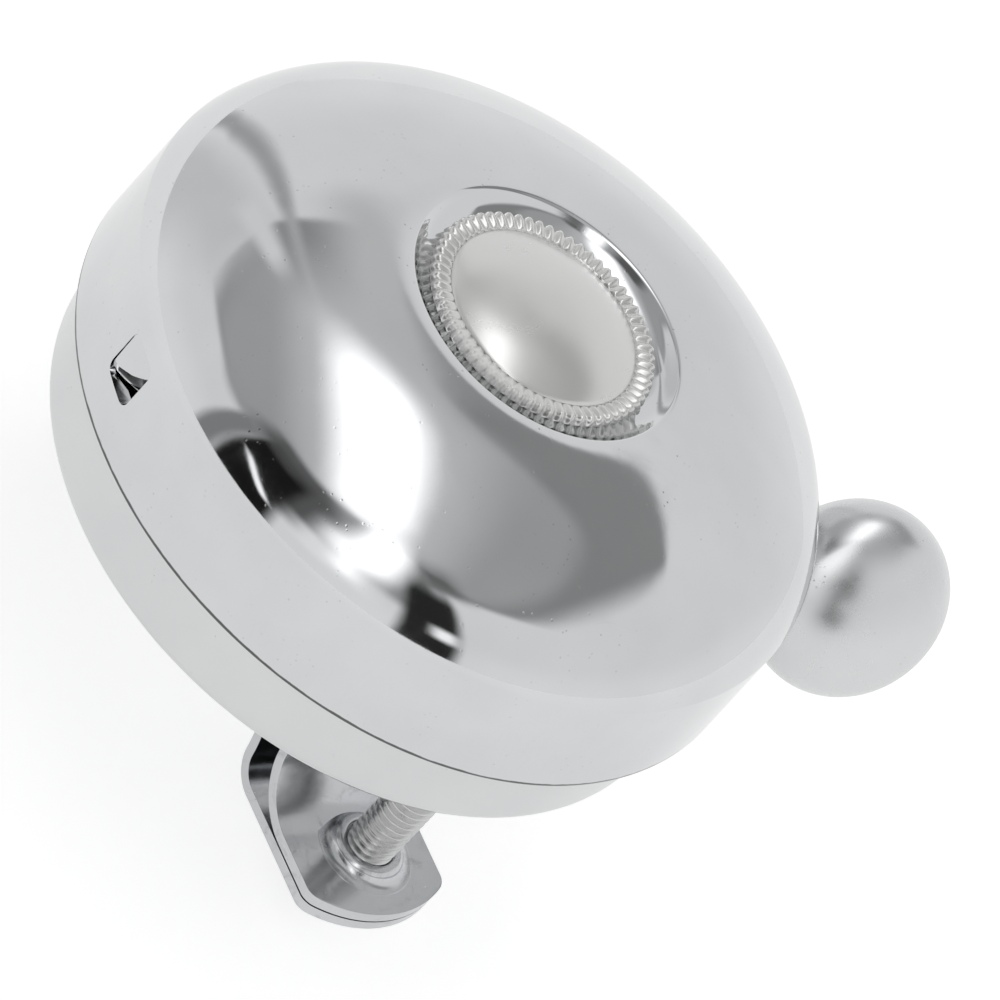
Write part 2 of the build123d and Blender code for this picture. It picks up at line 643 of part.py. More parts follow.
with BuildPart() as return_spring:
    with BuildLine() as spring_path:
        Helix(
            pitch=SPRING_PITCH,
            height=SPRING_PITCH * SPRING_TURNS,
            radius=SPRING_R,
            center=(*LEVER_PIVOT, SPRING_Z),
        )
    with BuildSketch(Plane(origin=spring_path.line @ 0, z_dir=spring_path.line % 0)):
        Circle(SPRING_WIRE / 2)
    sweep(path=spring_path.line, is_frenet=True)
    for end, turn in ((0, -1), (1, 1)):
        with BuildSketch(Plane(origin=spring_path.line @ end, z_dir=(spring_path.line % end) * turn)):
            Circle(SPRING_WIRE / 2)
        extrude(amount=6.0)
save(return_spring, "return_spring")

with BuildPart() as spring_post:
    with BuildSketch(Plane.XY.offset(PAN_BOTTOM)):
        with Locations(SPRING_POST_AT):
            Circle(SPRING_POST_R)
    extrude(amount=GEAR_TOP + 0.4 - PAN_BOTTOM)
save(spring_post, "spring_post")

# ---------------------------------------------------------------- idler

idler_plane = Plane(origin=(*IDLER_AT, 0), z_dir=(0, 0, 1))
SPIGOT_R = 2.6
ROTOR_MESH_ANGLE = IDLER_ANGLE + 180
LIGHTENING_HOLES = 5
LIGHTENING_R = 1.7
LIGHTENING_AT = 6.0
IDLER_HEAD_R = 2.0
IDLER_FLANGE_R = 2.8
IDLER_WASHER_R = 3.4

with BuildPart() as idler_pinion:
    with BuildSketch(idler_plane.offset(PINION_Z)):
        with BuildLine():
            Polyline(*gear_points(IDLER_PINION_TEETH, MESH_ANGLE + 180 + 180 / IDLER_PINION_TEETH), close=True)
        make_face()
    extrude(amount=GEAR_Z - PINION_Z)
    with BuildSketch(idler_plane.offset(GEAR_Z)):
        Circle(SPIGOT_R)
    extrude(amount=GEAR_T)
    with BuildSketch(idler_plane.offset(PINION_Z)):
        Circle(IDLER_R + RUNNING)
    extrude(amount=GEAR_TOP - PINION_Z, mode=Mode.SUBTRACT)
save(idler_pinion, "idler_pinion")

with BuildPart() as idler_gear:
    with BuildSketch(idler_plane.offset(GEAR_Z)):
        with BuildLine():
            Polyline(*gear_points(IDLER_GEAR_TEETH, ROTOR_MESH_ANGLE), close=True)
        make_face()
        Circle(SPIGOT_R, mode=Mode.SUBTRACT)
        with PolarLocations(LIGHTENING_AT, LIGHTENING_HOLES):
            Circle(LIGHTENING_R, mode=Mode.SUBTRACT)
    extrude(amount=GEAR_T)
save(idler_gear, "idler_gear")

with BuildPart() as idler_stud:
    with BuildSketch(Plane(origin=(*IDLER_AT, 0), x_dir=(1, 0, 0), z_dir=(0, -1, 0))):
        with BuildLine():
            Polyline(
                (0, PAN_BOTTOM - 0.5),
                (IDLER_HEAD_R - 0.2, PAN_BOTTOM - 0.5),
                (IDLER_HEAD_R, PAN_BOTTOM - 0.2),
                (IDLER_HEAD_R, PAN_BOTTOM),
                (IDLER_SHANK_R, PAN_BOTTOM),
                (IDLER_SHANK_R, FLOOR),
                (IDLER_FLANGE_R, FLOOR),
                (IDLER_FLANGE_R, PINION_Z - 0.15),
                (IDLER_R, PINION_Z - 0.15),
                (IDLER_R, GEAR_TOP + 0.15),
                (IDLER_NECK_R, GEAR_TOP + 0.15),
                (IDLER_NECK_R, GEAR_TOP + 1.0),
                (0, GEAR_TOP + 1.0),
                close=True,
            )
        make_face()
    revolve(axis=Axis((*IDLER_AT, 0), (0, 0, 1)))
save(idler_stud, "idler_stud")

with BuildPart() as idler_washer:
    with BuildSketch(idler_plane.offset(GEAR_TOP + 0.15)):
        Circle(IDLER_WASHER_R)
        Circle(IDLER_NECK_R, mode=Mode.SUBTRACT)
    extrude(amount=0.6)
save(idler_washer, "idler_washer")

# ---------------------------------------------------------------- rotor, flyer and strikers

HUB_R = 4.0
HUB_SPIGOT_R = 3.4

with BuildPart() as rotor_pinion:
    with BuildSketch(Plane.XY.offset(ROTOR_Z)):
        with BuildLine():
            Polyline(*gear_points(ROTOR_TEETH, IDLER_ANGLE + 180 / ROTOR_TEETH), close=True)
        make_face()
    extrude(amount=ROTOR_TEETH_TOP - ROTOR_Z)
    with BuildSketch(Plane.XY.offset(ROTOR_TEETH_TOP)):
        Circle(HUB_R)
    extrude(amount=ARM_Z - ROTOR_TEETH_TOP)
    with BuildSketch(Plane.XY.offset(ARM_Z)):
        Circle(HUB_SPIGOT_R)
    extrude(amount=ARM_T)
    with BuildSketch(Plane.XY.offset(ROTOR_Z)):
        Circle(POST_R + RUNNING)
    extrude(amount=ARM_TOP - ROTOR_Z, mode=Mode.SUBTRACT)
save(rotor_pinion, "rotor_pinion")

ARM_END_W = 7.0
ARM_HUB_R = 6.4
STRIKER_PIN_R = 1.2
STRIKER_RIVET_R = 1.9
STRIKER_HEAD_R = 3.2
striker_places = [(0, STRIKER_REACH), (0, -STRIKER_REACH)]

with BuildPart() as flyer_arm:
    with BuildSketch(Plane.XY.offset(ARM_Z)):
        SlotCenterToCenter(2 * STRIKER_REACH, ARM_END_W, rotation=90)
        Circle(ARM_HUB_R)
        Circle(HUB_SPIGOT_R, mode=Mode.SUBTRACT)
        with Locations(*striker_places):
            Circle(STRIKER_PIN_R, mode=Mode.SUBTRACT)
    extrude(amount=ARM_T)
save(flyer_arm, "flyer_arm")

with BuildPart() as one_pin:
    with BuildSketch(Plane.XZ):
        with BuildLine():
            Polyline(
                (0, ARM_Z - 0.6),
                (STRIKER_RIVET_R - 0.2, ARM_Z - 0.6),
                (STRIKER_RIVET_R, ARM_Z - 0.3),
                (STRIKER_RIVET_R, ARM_Z),
                (STRIKER_PIN_R, ARM_Z),
                (STRIKER_PIN_R, DISC_Z + DISC_T + 0.4),
                (STRIKER_HEAD_R, DISC_Z + DISC_T + 0.4),
                (STRIKER_HEAD_R, DISC_Z + DISC_T + 0.9),
                (STRIKER_HEAD_R - 0.6, DISC_Z + DISC_T + 1.2),
                (0, DISC_Z + DISC_T + 1.2),
                close=True,
            )
        make_face()
    revolve(axis=Axis.Z)
with BuildPart() as striker_pins:
    with Locations(*striker_places):
        add(one_pin.part)
save(striker_pins, "striker_pins")

STRIKER_HOLE_R = 2.1
for letter, place in zip("ab", striker_places):
    with BuildPart() as striker_disc:
        with BuildSketch(Plane.XY.offset(DISC_Z)):
            with Locations(place):
                Circle(STRIKER_R)
                Circle(STRIKER_HOLE_R, mode=Mode.SUBTRACT)
        extrude(amount=DISC_T)
        chamfer(striker_disc.edges().filter_by(GeomType.CIRCLE).group_by(SortBy.RADIUS)[-1], 0.4)
    save(striker_disc, f"striker_disc_{letter}")
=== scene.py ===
import json
import math

import bmesh
import bpy
import numpy as np
from mathutils import Matrix, Vector


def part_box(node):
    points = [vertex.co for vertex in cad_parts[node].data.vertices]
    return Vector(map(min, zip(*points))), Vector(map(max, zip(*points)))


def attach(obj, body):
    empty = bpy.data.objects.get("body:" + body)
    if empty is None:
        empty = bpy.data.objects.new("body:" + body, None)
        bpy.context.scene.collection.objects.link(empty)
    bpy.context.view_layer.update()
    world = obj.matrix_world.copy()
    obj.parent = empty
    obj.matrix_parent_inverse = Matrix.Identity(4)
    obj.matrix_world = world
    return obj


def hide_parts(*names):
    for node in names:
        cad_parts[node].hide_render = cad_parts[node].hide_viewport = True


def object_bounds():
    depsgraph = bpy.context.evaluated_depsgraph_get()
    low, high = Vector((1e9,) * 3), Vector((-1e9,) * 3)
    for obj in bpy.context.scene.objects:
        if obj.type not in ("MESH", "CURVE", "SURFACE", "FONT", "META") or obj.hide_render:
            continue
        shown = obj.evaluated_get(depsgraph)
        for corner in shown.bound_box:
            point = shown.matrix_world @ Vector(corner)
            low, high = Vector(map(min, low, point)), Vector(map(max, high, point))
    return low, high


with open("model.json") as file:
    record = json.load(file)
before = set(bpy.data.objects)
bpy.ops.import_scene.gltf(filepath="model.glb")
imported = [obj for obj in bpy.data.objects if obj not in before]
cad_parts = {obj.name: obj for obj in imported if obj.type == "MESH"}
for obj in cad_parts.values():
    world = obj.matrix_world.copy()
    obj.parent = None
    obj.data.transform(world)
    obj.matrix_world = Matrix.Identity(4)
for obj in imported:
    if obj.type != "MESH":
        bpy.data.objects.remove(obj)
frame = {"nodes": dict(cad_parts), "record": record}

# The look of the rotary bicycle bell. Metres, in the row frame: handlebar along X, rider at -Y, bell axis +Z.

cad_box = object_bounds()
MM = 0.001

# ---------------------------------------------------------------- sizes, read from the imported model

gong_low, gong_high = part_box("gong")
pan_low, pan_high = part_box("base_pan")
cap_low, cap_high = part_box("gong_cap")
saddle_low, saddle_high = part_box("clamp_saddle")
strap_low, strap_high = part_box("clamp_strap")
screw_low, screw_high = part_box("clamp_screws")
washer_low, washer_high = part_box("clamp_washers")

RIM_Z = gong_low.z
GONG_R = gong_high.x
GONG_T = 1.2 * MM
PAN_R = pan_high.x
PAN_T = 0.9 * MM
CAP_R = cap_high.x


def rad(degrees):
    return math.radians(degrees)


# ---------------------------------------------------------------- mesh helpers


def add_object(name, verts, faces, smooth=True):
    """A mesh object in the row frame, with its normals made consistent."""
    mesh = bpy.data.meshes.new(name)
    mesh.from_pydata([tuple(v) for v in verts], [], faces)
    bm = bmesh.new()
    bm.from_mesh(mesh)
    bmesh.ops.recalc_face_normals(bm, faces=bm.faces)
    bm.to_mesh(mesh)
    bm.free()
    mesh.validate()
    mesh.polygons.foreach_set("use_smooth", [smooth] * len(mesh.polygons))
    obj = bpy.data.objects.new(name, mesh)
    bpy.context.scene.collection.objects.link(obj)
    return obj


def bake(obj):
    """Turns the modifiers into mesh."""
    bpy.context.view_layer.update()
    graph = bpy.context.evaluated_depsgraph_get()
    mesh = bpy.data.meshes.new_from_object(obj.evaluated_get(graph))
    obj.modifiers.clear()
    obj.data = mesh
    return obj


def join(name, parts):
    """One object from several."""
    bm = bmesh.new()
    for part in parts:
        part.data.transform(part.matrix_world)
        bm.from_mesh(part.data)
    mesh = bpy.data.meshes.new(name)
    bm.to_mesh(mesh)
    bm.free()
    for part in parts:
        bpy.data.objects.remove(part)
    obj = bpy.data.objects.new(name, mesh)
    bpy.context.scene.collection.objects.link(obj)
    return obj


def soften(obj, width, segments=3, angle=40):
    """Small rounded edges, with the flats kept flat."""
    bevel = obj.modifiers.new("edges", "BEVEL")
    bevel.width = width
    bevel.segments = segments
    bevel.limit_method = "ANGLE"
    bevel.angle_limit = rad(angle)
    bevel.harden_normals = False
    weighted = obj.modifiers.new("normals", "WEIGHTED_NORMAL")
    weighted.keep_sharp = True
    return bake(obj)


def arc(start, end, tangent, count):
    """Points of the circle that leaves start along tangent and reaches end, and its last tangent."""
    a, b = np.array(start, float), np.array(end, float)
    t = np.array(tangent, float) / np.hypot(*tangent)
    normal = np.array([-t[1], t[0]])
    chord = b - a
    bend = 2 * (chord @ normal) / (chord @ chord)
    centre = a + normal / bend
    radius = abs(1 / bend)
    from_angle = math.atan2(*(a - centre)[::-1])
    to_angle = math.atan2(*(b - centre)[::-1])
    sweep = to_angle - from_angle
    if bend > 0:
        sweep %= 2 * math.pi
    else:
        sweep = -((-sweep) % (2 * math.pi))
    turns = from_angle + sweep * np.linspace(0, 1, count)
    points = centre + radius * np.stack([np.cos(turns), np.sin(turns)], -1)
    last = np.array([-math.sin(to_angle), math.cos(to_angle)]) * (1 if bend > 0 else -1)
    return points, last


def line(start, end, count):
    share = np.linspace(0, 1, count)[:, None]
    return np.array(start, float) * (1 - share) + np.array(end, float) * share


def chain(*runs):
    """Joins runs of points, leaving out the doubled ends."""
    points = [runs[0]]
    for run in runs[1:]:
        points.append(run[1:] if np.allclose(run[0], points[-1][-1], atol=1e-9) else run)
    return np.concatenate(points)


def round_corners(points, radius, steps=5):
    """A profile's corners, each replaced by a small arc."""
    points = [np.array(p, float) for p in points]
    made = [points[0]]
    for before, here, after in zip(points, points[1:], points[2:]):
        u, v = before - here, after - here
        reach = min(radius, np.linalg.norm(u) * 0.45, np.linalg.norm(v) * 0.45)
        p, q = here + u / np.linalg.norm(u) * reach, here + v / np.linalg.norm(v) * reach
        for k in range(steps + 1):
            t = k / steps
            made.append((1 - t) ** 2 * p + 2 * t * (1 - t) * here + t**2 * q)
    made.append(points[-1])
    return np.array(made)


def left_normals(path):
    """The unit normals on the left side of a path."""
    step = np.gradient(path, axis=0)
    step /= np.linalg.norm(step, axis=1)[:, None]
    return np.stack([-step[:, 1], step[:, 0]], -1)


def thick_sheet(name, verts, lines, width):
    """A closed sheet from two layers of points, each a grid of lines with width points in a line."""
    faces, total = [], lines * width
    for i in range(lines - 1):
        for j in range(width - 1):
            quad = [i * width + j, i * width + j + 1, (i + 1) * width + j + 1, (i + 1) * width + j]
            faces.append(quad)
            faces.append([total + q for q in quad[::-1]])
    ends = [(i * width + j, i * width + j + 1) for j in range(width - 1) for i in (0, lines - 1)]
    sides = [(i * width + j, (i + 1) * width + j) for i in range(lines - 1) for j in (0, width - 1)]
    faces += [[a, b, total + b, total + a] for a, b in ends + sides]
    return add_object(name, verts, faces)


def cut_away(obj, cutter):
    """Takes the cutter's shape out of the object and removes the cutter."""
    cut = obj.modifiers.new("cut", "BOOLEAN")
    cut.operation = "DIFFERENCE"
    cut.solver = "EXACT"
    cut.object = cutter
    bake(obj)
    bpy.data.objects.remove(cutter)


def lathe(name, profile, segments=256, centre=(0, 0), closed=False):
    """Revolves a profile of (radius, height) points about the vertical line through centre."""
    profile = np.array(profile, float)
    verts, faces, rings = [], [], []
    for r, z in profile:
        if r < 1e-7:
            verts.append((centre[0], centre[1], z))
            rings.append([len(verts) - 1])
            continue
        ring = []
        for k in range(segments):
            a = 2 * math.pi * k / segments
            verts.append((centre[0] + r * math.cos(a), centre[1] + r * math.sin(a), z))
            ring.append(len(verts) - 1)
        rings.append(ring)
    pairs = list(zip(rings, rings[1:])) + ([(rings[-1], rings[0])] if closed else [])
    for low, high in pairs:
        for k in range(segments):
            n = (k + 1) % segments
            quad = [low[k % len(low)], low[n % len(low)], high[n % len(high)], high[k % len(high)]]
            face = list(dict.fromkeys(quad))
            if len(face) > 2:
                faces.append(face)
    return add_object(name, verts, faces)


# ---------------------------------------------------------------- materials


class Nodes:
    """Short calls for building a node tree."""

    def __init__(self, tree):
        self.tree = tree

    def new(self, kind, **settings):
        node = self.tree.nodes.new(kind)
        for key, value in settings.items():
            setattr(node, key, value)
        return node

    def link(self, a, b):
        self.tree.links.new(a, b)

    def feed(self, socket, value):
        if isinstance(value, bpy.types.NodeSocket):
            self.link(value, socket)
        elif value is not None:
            socket.default_value = value

    def math(self, operation, a, b=None, c=None):
        node = self.new("ShaderNodeMath", operation=operation)
        for socket, value in zip(node.inputs, (a, b, c)):
            self.feed(socket, value)
        return node.outputs[0]

    def noise(self, where, scale, detail=4.0, rough=0.55, warp=0.0):
        node = self.new("ShaderNodeTexNoise")
        self.link(where, node.inputs["Vector"])
        node.inputs["Scale"].default_value = scale
        node.inputs["Detail"].default_value = detail
        node.inputs["Roughness"].default_value = rough
        node.inputs["Distortion"].default_value = warp
        return node.outputs["Fac"]

    def stretch(self, where, scale, turn=(0, 0, 0)):
        node = self.new("ShaderNodeMapping")
        self.link(where, node.inputs["Vector"])
        node.inputs["Scale"].default_value = scale
        node.inputs["Rotation"].default_value = turn
        return node.outputs["Vector"]

    def cells(self, where, scale, feature="F1", output="Distance"):
        node = self.new("ShaderNodeTexVoronoi", feature=feature)
        self.link(where, node.inputs["Vector"])
        node.inputs["Scale"].default_value = scale
        return node.outputs[output]

    def span(self, value, low, high, to_low=0.0, to_high=1.0, smooth=False):
        node = self.new("ShaderNodeMapRange", clamp=True)
        if smooth:
            node.interpolation_type = "SMOOTHSTEP"
        self.feed(node.inputs["Value"], value)
        for key, number in zip(("From Min", "From Max", "To Min", "To Max"), (low, high, to_low, to_high)):
            self.feed(node.inputs[key], number)
        return node.outputs[0]

    def mix(self, share, a, b):
        node = self.new("ShaderNodeMix", data_type="RGBA")
        self.feed(node.inputs["Factor"], share)
        for socket, value in zip((node.inputs[6], node.inputs[7]), (a, b)):
            self.feed(socket, value)
        return node.outputs[2]

    def bump(self, height, strength, distance, normal=None):
        node = self.new("ShaderNodeBump")
        node.inputs["Strength"].default_value = strength
        node.inputs["Distance"].default_value = distance
        self.link(height, node.inputs["Height"])
        if normal is not None:
            self.link(normal, node.inputs["Normal"])
        return node.outputs["Normal"]


def plated_metal(
    name, colour, tint, rough, haze=0.03, pits=1.0, ripple=1.0, scratches=1.0, wear=0.0, brushed=0.0,
    metal=1.0,
):
    """Plated or bare metal: colour drift, hazy smudges, hairline scratches, pits and a faint ripple.
    brushed adds drawn streaks, wear dulls the metal in patches, and metal below 1 is a satin plating."""
    material = bpy.data.materials.new(name)
    material.use_nodes = True
    n = Nodes(material.node_tree)
    shader = material.node_tree.nodes["Principled BSDF"]
    shader.inputs["Metallic"].default_value = metal
    where = n.new("ShaderNodeTexCoord").outputs["Object"]

    drift = n.noise(where, 60, 3, 0.6)
    clouds = n.noise(where, 170, 5, 0.62, 0.6)
    smudge = n.span(clouds, 0.46, 0.74, smooth=True)
    fine = n.noise(where, 2600, 3, 0.6)
    speck = n.cells(where, 1500)
    speck_on = n.span(n.noise(where, 320, 2, 0.5), 0.50, 0.64)
    pit = n.math("MULTIPLY", n.span(speck, 0.07, 0.17, 1.0, 0.0), speck_on)
    hair_a = n.noise(n.stretch(where, (90, 2600, 2600), (0.4, 0.9, 0.35)), 1.0, 2, 0.5)
    hair_b = n.noise(n.stretch(where, (2400, 70, 2400), (0.2, 0.5, 1.1)), 1.0, 2, 0.5)
    hair = n.math("MAXIMUM", n.span(hair_a, 0.70, 0.80), n.span(hair_b, 0.71, 0.81))

    base = n.mix(n.span(drift, 0.35, 0.68), (*colour, 1), (*tint, 1))
    darker = tuple(c * 0.72 for c in colour)
    base = n.mix(n.math("MULTIPLY", pit, 0.55 * pits), base, (*darker, 1))
    if wear:
        stain = n.span(n.noise(where, 420, 6, 0.7, 0.8), 0.52, 0.72, smooth=True)
        dull = tuple(c * 0.55 for c in tint)
        base = n.mix(n.math("MULTIPLY", stain, wear), base, (*dull, 1))
    n.link(base, shader.inputs["Base Color"])

    roughness = n.math("MULTIPLY_ADD", smudge, haze, rough)
    roughness = n.math("MULTIPLY_ADD", hair, 0.05 * scratches, roughness)
    roughness = n.math("MULTIPLY_ADD", n.math("MULTIPLY", pit, pits), 0.18, roughness)
    if brushed:
        streaks = n.noise(n.stretch(where, (160, 3800, 1600)), 1.0, 3, 0.6)
        roughness = n.math("MULTIPLY_ADD", streaks, 0.16 * brushed, roughness)
    if wear:
        roughness = n.math("MULTIPLY_ADD", stain, 0.25 * wear, roughness)
    n.link(n.math("MINIMUM", roughness, 0.9), shader.inputs["Roughness"])

    wave = n.noise(where, 210, 2, 0.45)
    normal = n.bump(wave, 0.5 * ripple, 0.000012)
    normal = n.bump(fine, 0.10 * max(ripple, 0.4), 0.000002, normal)
    normal = n.bump(n.math("SUBTRACT", 1.0, pit), 0.35 * pits, 0.00001, normal) if pits else normal
    normal = n.bump(n.math("SUBTRACT", 1.0, hair), 0.12 * scratches, 0.000004, normal)
    if brushed:
        normal = n.bump(streaks, 0.3 * brushed, 0.000012, normal)
    n.link(normal, shader.inputs["Normal"])
    return material


CHROME = (0.70, 0.705, 0.71)
FINISHES = {  # colour, the tint it drifts to, roughness, and what differs from the usual
    "gong_chrome": (CHROME, (0.645, 0.65, 0.66), 0.05, dict(haze=0.06, pits=1.0, ripple=1.5)),
    "cap_nickel": ((0.74, 0.74, 0.725), (0.71, 0.71, 0.69), 0.23, dict(haze=0.06, pits=0.0, metal=0.66)),
    "pan_chrome": ((0.70, 0.705, 0.705), (0.66, 0.665, 0.67), 0.15, dict(haze=0.06, pits=0.7)),
    "knob_chrome": (CHROME, (0.65, 0.655, 0.66), 0.27, dict(haze=0.05, pits=0.9)),
    "lever_steel": ((0.58, 0.585, 0.59), (0.52, 0.52, 0.52), 0.24, dict(haze=0.08, brushed=0.6, wear=0.2)),
    "clamp_zinc": (
        (0.66, 0.67, 0.68),
        (0.57, 0.58, 0.60),
        0.17,
        dict(haze=0.10, pits=0.6, ripple=2.0, brushed=0.25, wear=0.4),
    ),
    "screw_zinc": ((0.70, 0.70, 0.70), (0.62, 0.62, 0.61), 0.20, dict(haze=0.10, pits=0.5, wear=0.2)),
    "rivet_steel": ((0.56, 0.56, 0.56), (0.49, 0.48, 0.47), 0.26, dict(haze=0.10, brushed=0.4, wear=0.25)),
    "turned_steel": ((0.57, 0.57, 0.57), (0.51, 0.51, 0.50), 0.24, dict(haze=0.08, brushed=0.5, wear=0.2)),
    "spring_steel": ((0.30, 0.29, 0.28), (0.22, 0.21, 0.21), 0.28, dict(haze=0.12, pits=0.4, wear=0.3)),
    "gear_steel": ((0.54, 0.53, 0.51), (0.45, 0.43, 0.39), 0.27, dict(haze=0.14, brushed=0.5, wear=0.35)),
    "striker_steel": ((0.55, 0.55, 0.55), (0.47, 0.47, 0.46), 0.30, dict(haze=0.14, pits=1.2, wear=0.3)),
}
finish = {
    name: plated_metal(name, colour, tint, rough, **extra)
    for name, (colour, tint, rough, extra) in FINISHES.items()
}


def paint_rim_shade(material, height, depth):
    """Painted shade for the shadow gap between the gong's rim and the pan: a dark band of this depth above
    height, painted into the base colour.
    """
    n = Nodes(material.node_tree)
    shader = material.node_tree.nodes["Principled BSDF"]
    where = n.new("ShaderNodeTexCoord").outputs["Object"]
    parts = n.new("ShaderNodeSeparateXYZ")
    n.link(where, parts.inputs[0])
    uneven = n.math("MULTIPLY", n.noise(where, 500, 3), depth * 0.5)
    above = n.math("SUBTRACT", n.math("SUBTRACT", parts.outputs[2], height), uneven)
    band = n.span(above, depth * 0.55, depth * 0.8, 1.0, 0.0, smooth=True)
    plated = shader.inputs["Base Color"].links[0].from_socket
    # painted shade: inside the band the plated colour is mixed to near black
    n.link(n.mix(n.math("MULTIPLY", band, 0.92), plated, (0.07, 0.07, 0.07, 1)), shader.inputs["Base Color"])


# Depth of the painted shade band along the gong's rim, which stands in for the shadow gap over the pan.
RIM_SHADE_DEPTH = 0.46 * MM
paint_rim_shade(finish["gong_chrome"], RIM_Z, RIM_SHADE_DEPTH)


def dress(obj, body, slot, *nodes):
    """Gives a new piece its finish, its body and the CAD nodes that it stands for."""
    obj.data.materials.clear()
    obj.data.materials.append(finish[slot])
    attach(obj, body)
    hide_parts(*nodes)
    return obj


for row in frame["record"]["subparts"]:
    cad = frame["nodes"][row["node"]]
    cad.data.materials.clear()
    cad.data.materials.append(finish[row["material_slot"]])

# ---------------------------------------------------------------- gong

LUG_SPAN = rad(7.2)
LUG_LOW = RIM_Z + 3.8 * MM
LUG_HIGH = RIM_Z + 8.2 * MM
LUG_STARTS = (rad(167.0), rad(347.0))
RECESS_Z = RIM_Z + 17.4 * MM
WINDOW_ROWS = 70  # a profile's first rows, which hold the straight wall that windows may cut


def gong_profile():
    """The gong's outer line from rim to cap hole, in the order rim, skirt, shoulder, dome, recess."""
    rim = (GONG_R, RIM_Z + 0.25 * MM)
    skirt_top = (29.75 * MM, RIM_Z + 9.6 * MM)
    shoulder = (26.6 * MM, RIM_Z + 13.9 * MM)
    crown = (11.8 * MM, RIM_Z + 18.5 * MM)
    edge, _ = arc((GONG_R - 0.35 * MM, RIM_Z), rim, (1, 0), 6)
    skirt = line(rim, skirt_top, 60)
    corner, tangent = arc(skirt_top, shoulder, (-0.307, 0.952), 36)
    dome, tangent = arc(shoulder, crown, tangent, 72)
    lip_turn = math.atan2(tangent[1], tangent[0])
    slope = rad(-138)
    lip_r = 0.5 * MM
    turns = np.linspace(lip_turn % (2 * math.pi), slope % (2 * math.pi), 12)
    lip = [np.array(crown)]
    for before, after in zip(turns, turns[1:]):
        middle = (before + after) / 2
        lip.append(lip[-1] + lip_r * abs(after - before) * np.array([math.cos(middle), math.sin(middle)]))
    lip = np.array(lip)
    cove_top = lip[-1] + 0.35 * MM * np.array([math.cos(slope), math.sin(slope)])
    cove_drop = cove_top[1] - RECESS_Z
    cove_r = cove_drop / (1 - math.cos(math.pi + slope))
    steepest = math.pi + slope
    cove = [
        (cove_top[0] - cove_r * (math.sin(steepest) - math.sin(t)), RECESS_Z + cove_r * (1 - math.cos(t)))
        for t in np.linspace(steepest, 0, 16)
    ]
    flat = line(cove[-1], (4.1 * MM, RECESS_Z), 8)
    return chain(edge, skirt, corner, dome, lip, np.array(cove), flat)


def offset_inward(profile, distance):
    """The same line moved to the inner side of the wall."""
    return profile + distance * left_normals(profile)


def near_zero(angle):
    """The same direction, between minus and plus half a turn."""
    return (angle + math.pi) % (2 * math.pi) - math.pi


def windowed_shell(name, outer, inner, windows, segments, fillet, dense=0.35):
    """A turned shell with round-cornered windows through its straight wall.
    windows are (from angle, to angle, low, high). Grid lines run along each window's edges, and its corners
    are drawn in to an arc."""
    angles = set(np.round(np.linspace(0, 2 * math.pi, segments, endpoint=False), 9))
    for start, end, low, high in windows:
        inside = np.linspace(start, end, max(8, int((end - start) / rad(dense))))
        around = [start - rad(dense) * k for k in range(1, 9)] + [end + rad(dense) * k for k in range(1, 9)]
        angles = {a for a in angles if not min(around) < near_zero(a - start) + start < max(around)}
        angles |= {round(a % (2 * math.pi), 9) for a in list(inside) + around}
    angles = np.array(sorted(angles))
    count, rows = len(angles), len(outer)
    reach = outer[:, 0].max()

    def place(layer, row, k):
        r, z = layer[row]
        a = angles[k]
        for start, end, low, high in windows:
            middle, half = (start + end) / 2, (end - start) / 2
            u = near_zero(a - middle) * reach
            v = outer[row, 1] - (low + high) / 2
            across = abs(u) - (half * reach - fillet)
            up = abs(v) - ((high - low) / 2 - fillet)
            if across > 0 and up > 0 and max(across, up) < 2 * fillet and row < WINDOW_ROWS:
                size = max(across, up)
                if size >= fillet * 0.999:
                    back = 1 - min(1.0, (size - fillet) / fillet)
                    shrink = 1 + back * (size / math.hypot(across, up) - 1)
                    a = middle + math.copysign(half * reach - fillet + across * shrink, u) / reach
                    z += math.copysign((high - low) / 2 - fillet + up * shrink, v) - v
        return (r * math.cos(a), r * math.sin(a), z)

    verts = [place(layer, row, k) for layer in (outer, inner) for row in range(rows) for k in range(count)]
    total = rows * count

    def is_open(row, k):
        wrap = 2 * math.pi if k == count - 1 else 0
        a = (angles[k] + angles[(k + 1) % count] + wrap) / 2
        z = (outer[row, 1] + outer[row + 1, 1]) / 2
        return row < WINDOW_ROWS and any(
            abs(near_zero(a - (s + e) / 2)) < (e - s) / 2 and low < z < high for s, e, low, high in windows
        )

    faces, gone = [], set()
    for row in range(rows - 1):
        for k in range(count):
            if is_open(row, k):
                gone.add((row, k))
                continue
            n = (k + 1) % count
            quad = [row * count + k, row * count + n, (row + 1) * count + n, (row + 1) * count + k]
            faces.append(quad)
            faces.append([total + i for i in quad[::-1]])
    for row, k in gone:
        n = (k + 1) % count
        sides = {
            (row - 1, k): (row * count + k, row * count + n),
            (row + 1, k): ((row + 1) * count + n, (row + 1) * count + k),
            (row, (k - 1) % count): ((row + 1) * count + k, row * count + k),
            (row, n): (row * count + n, (row + 1) * count + n),
        }
        for neighbour, (a, b) in sides.items():
            if neighbour not in gone:
                faces.append([a, b, total + b, total + a])
    for row in (0, rows - 1):
        for k in range(count):
            n = (k + 1) % count
            faces.append([row * count + k, row * count + n, total + row * count + n, total + row * count + k])
    return add_object(name, verts, faces)


def snap_rows(profile, heights, rows):
    """Moves the nearest of the first rows onto each height, so that a window's edge is a grid line."""
    for height in heights:
        row = int(np.argmin(abs(profile[:rows, 1] - height)))
        profile[row, 1] = height
    return profile


outer_line = snap_rows(gong_profile(), (LUG_LOW, LUG_HIGH), 60)
inner_line = offset_inward(outer_line, GONG_T)
inner_line[0:6, 1] = np.maximum(inner_line[0:6, 1], RIM_Z)
windows = [(start + rad(0.3), start + LUG_SPAN + rad(0.9), LUG_LOW, LUG_HIGH) for start in LUG_STARTS]
shell = windowed_shell("gong_shell", outer_line, inner_line, windows, 480, 0.8 * MM)


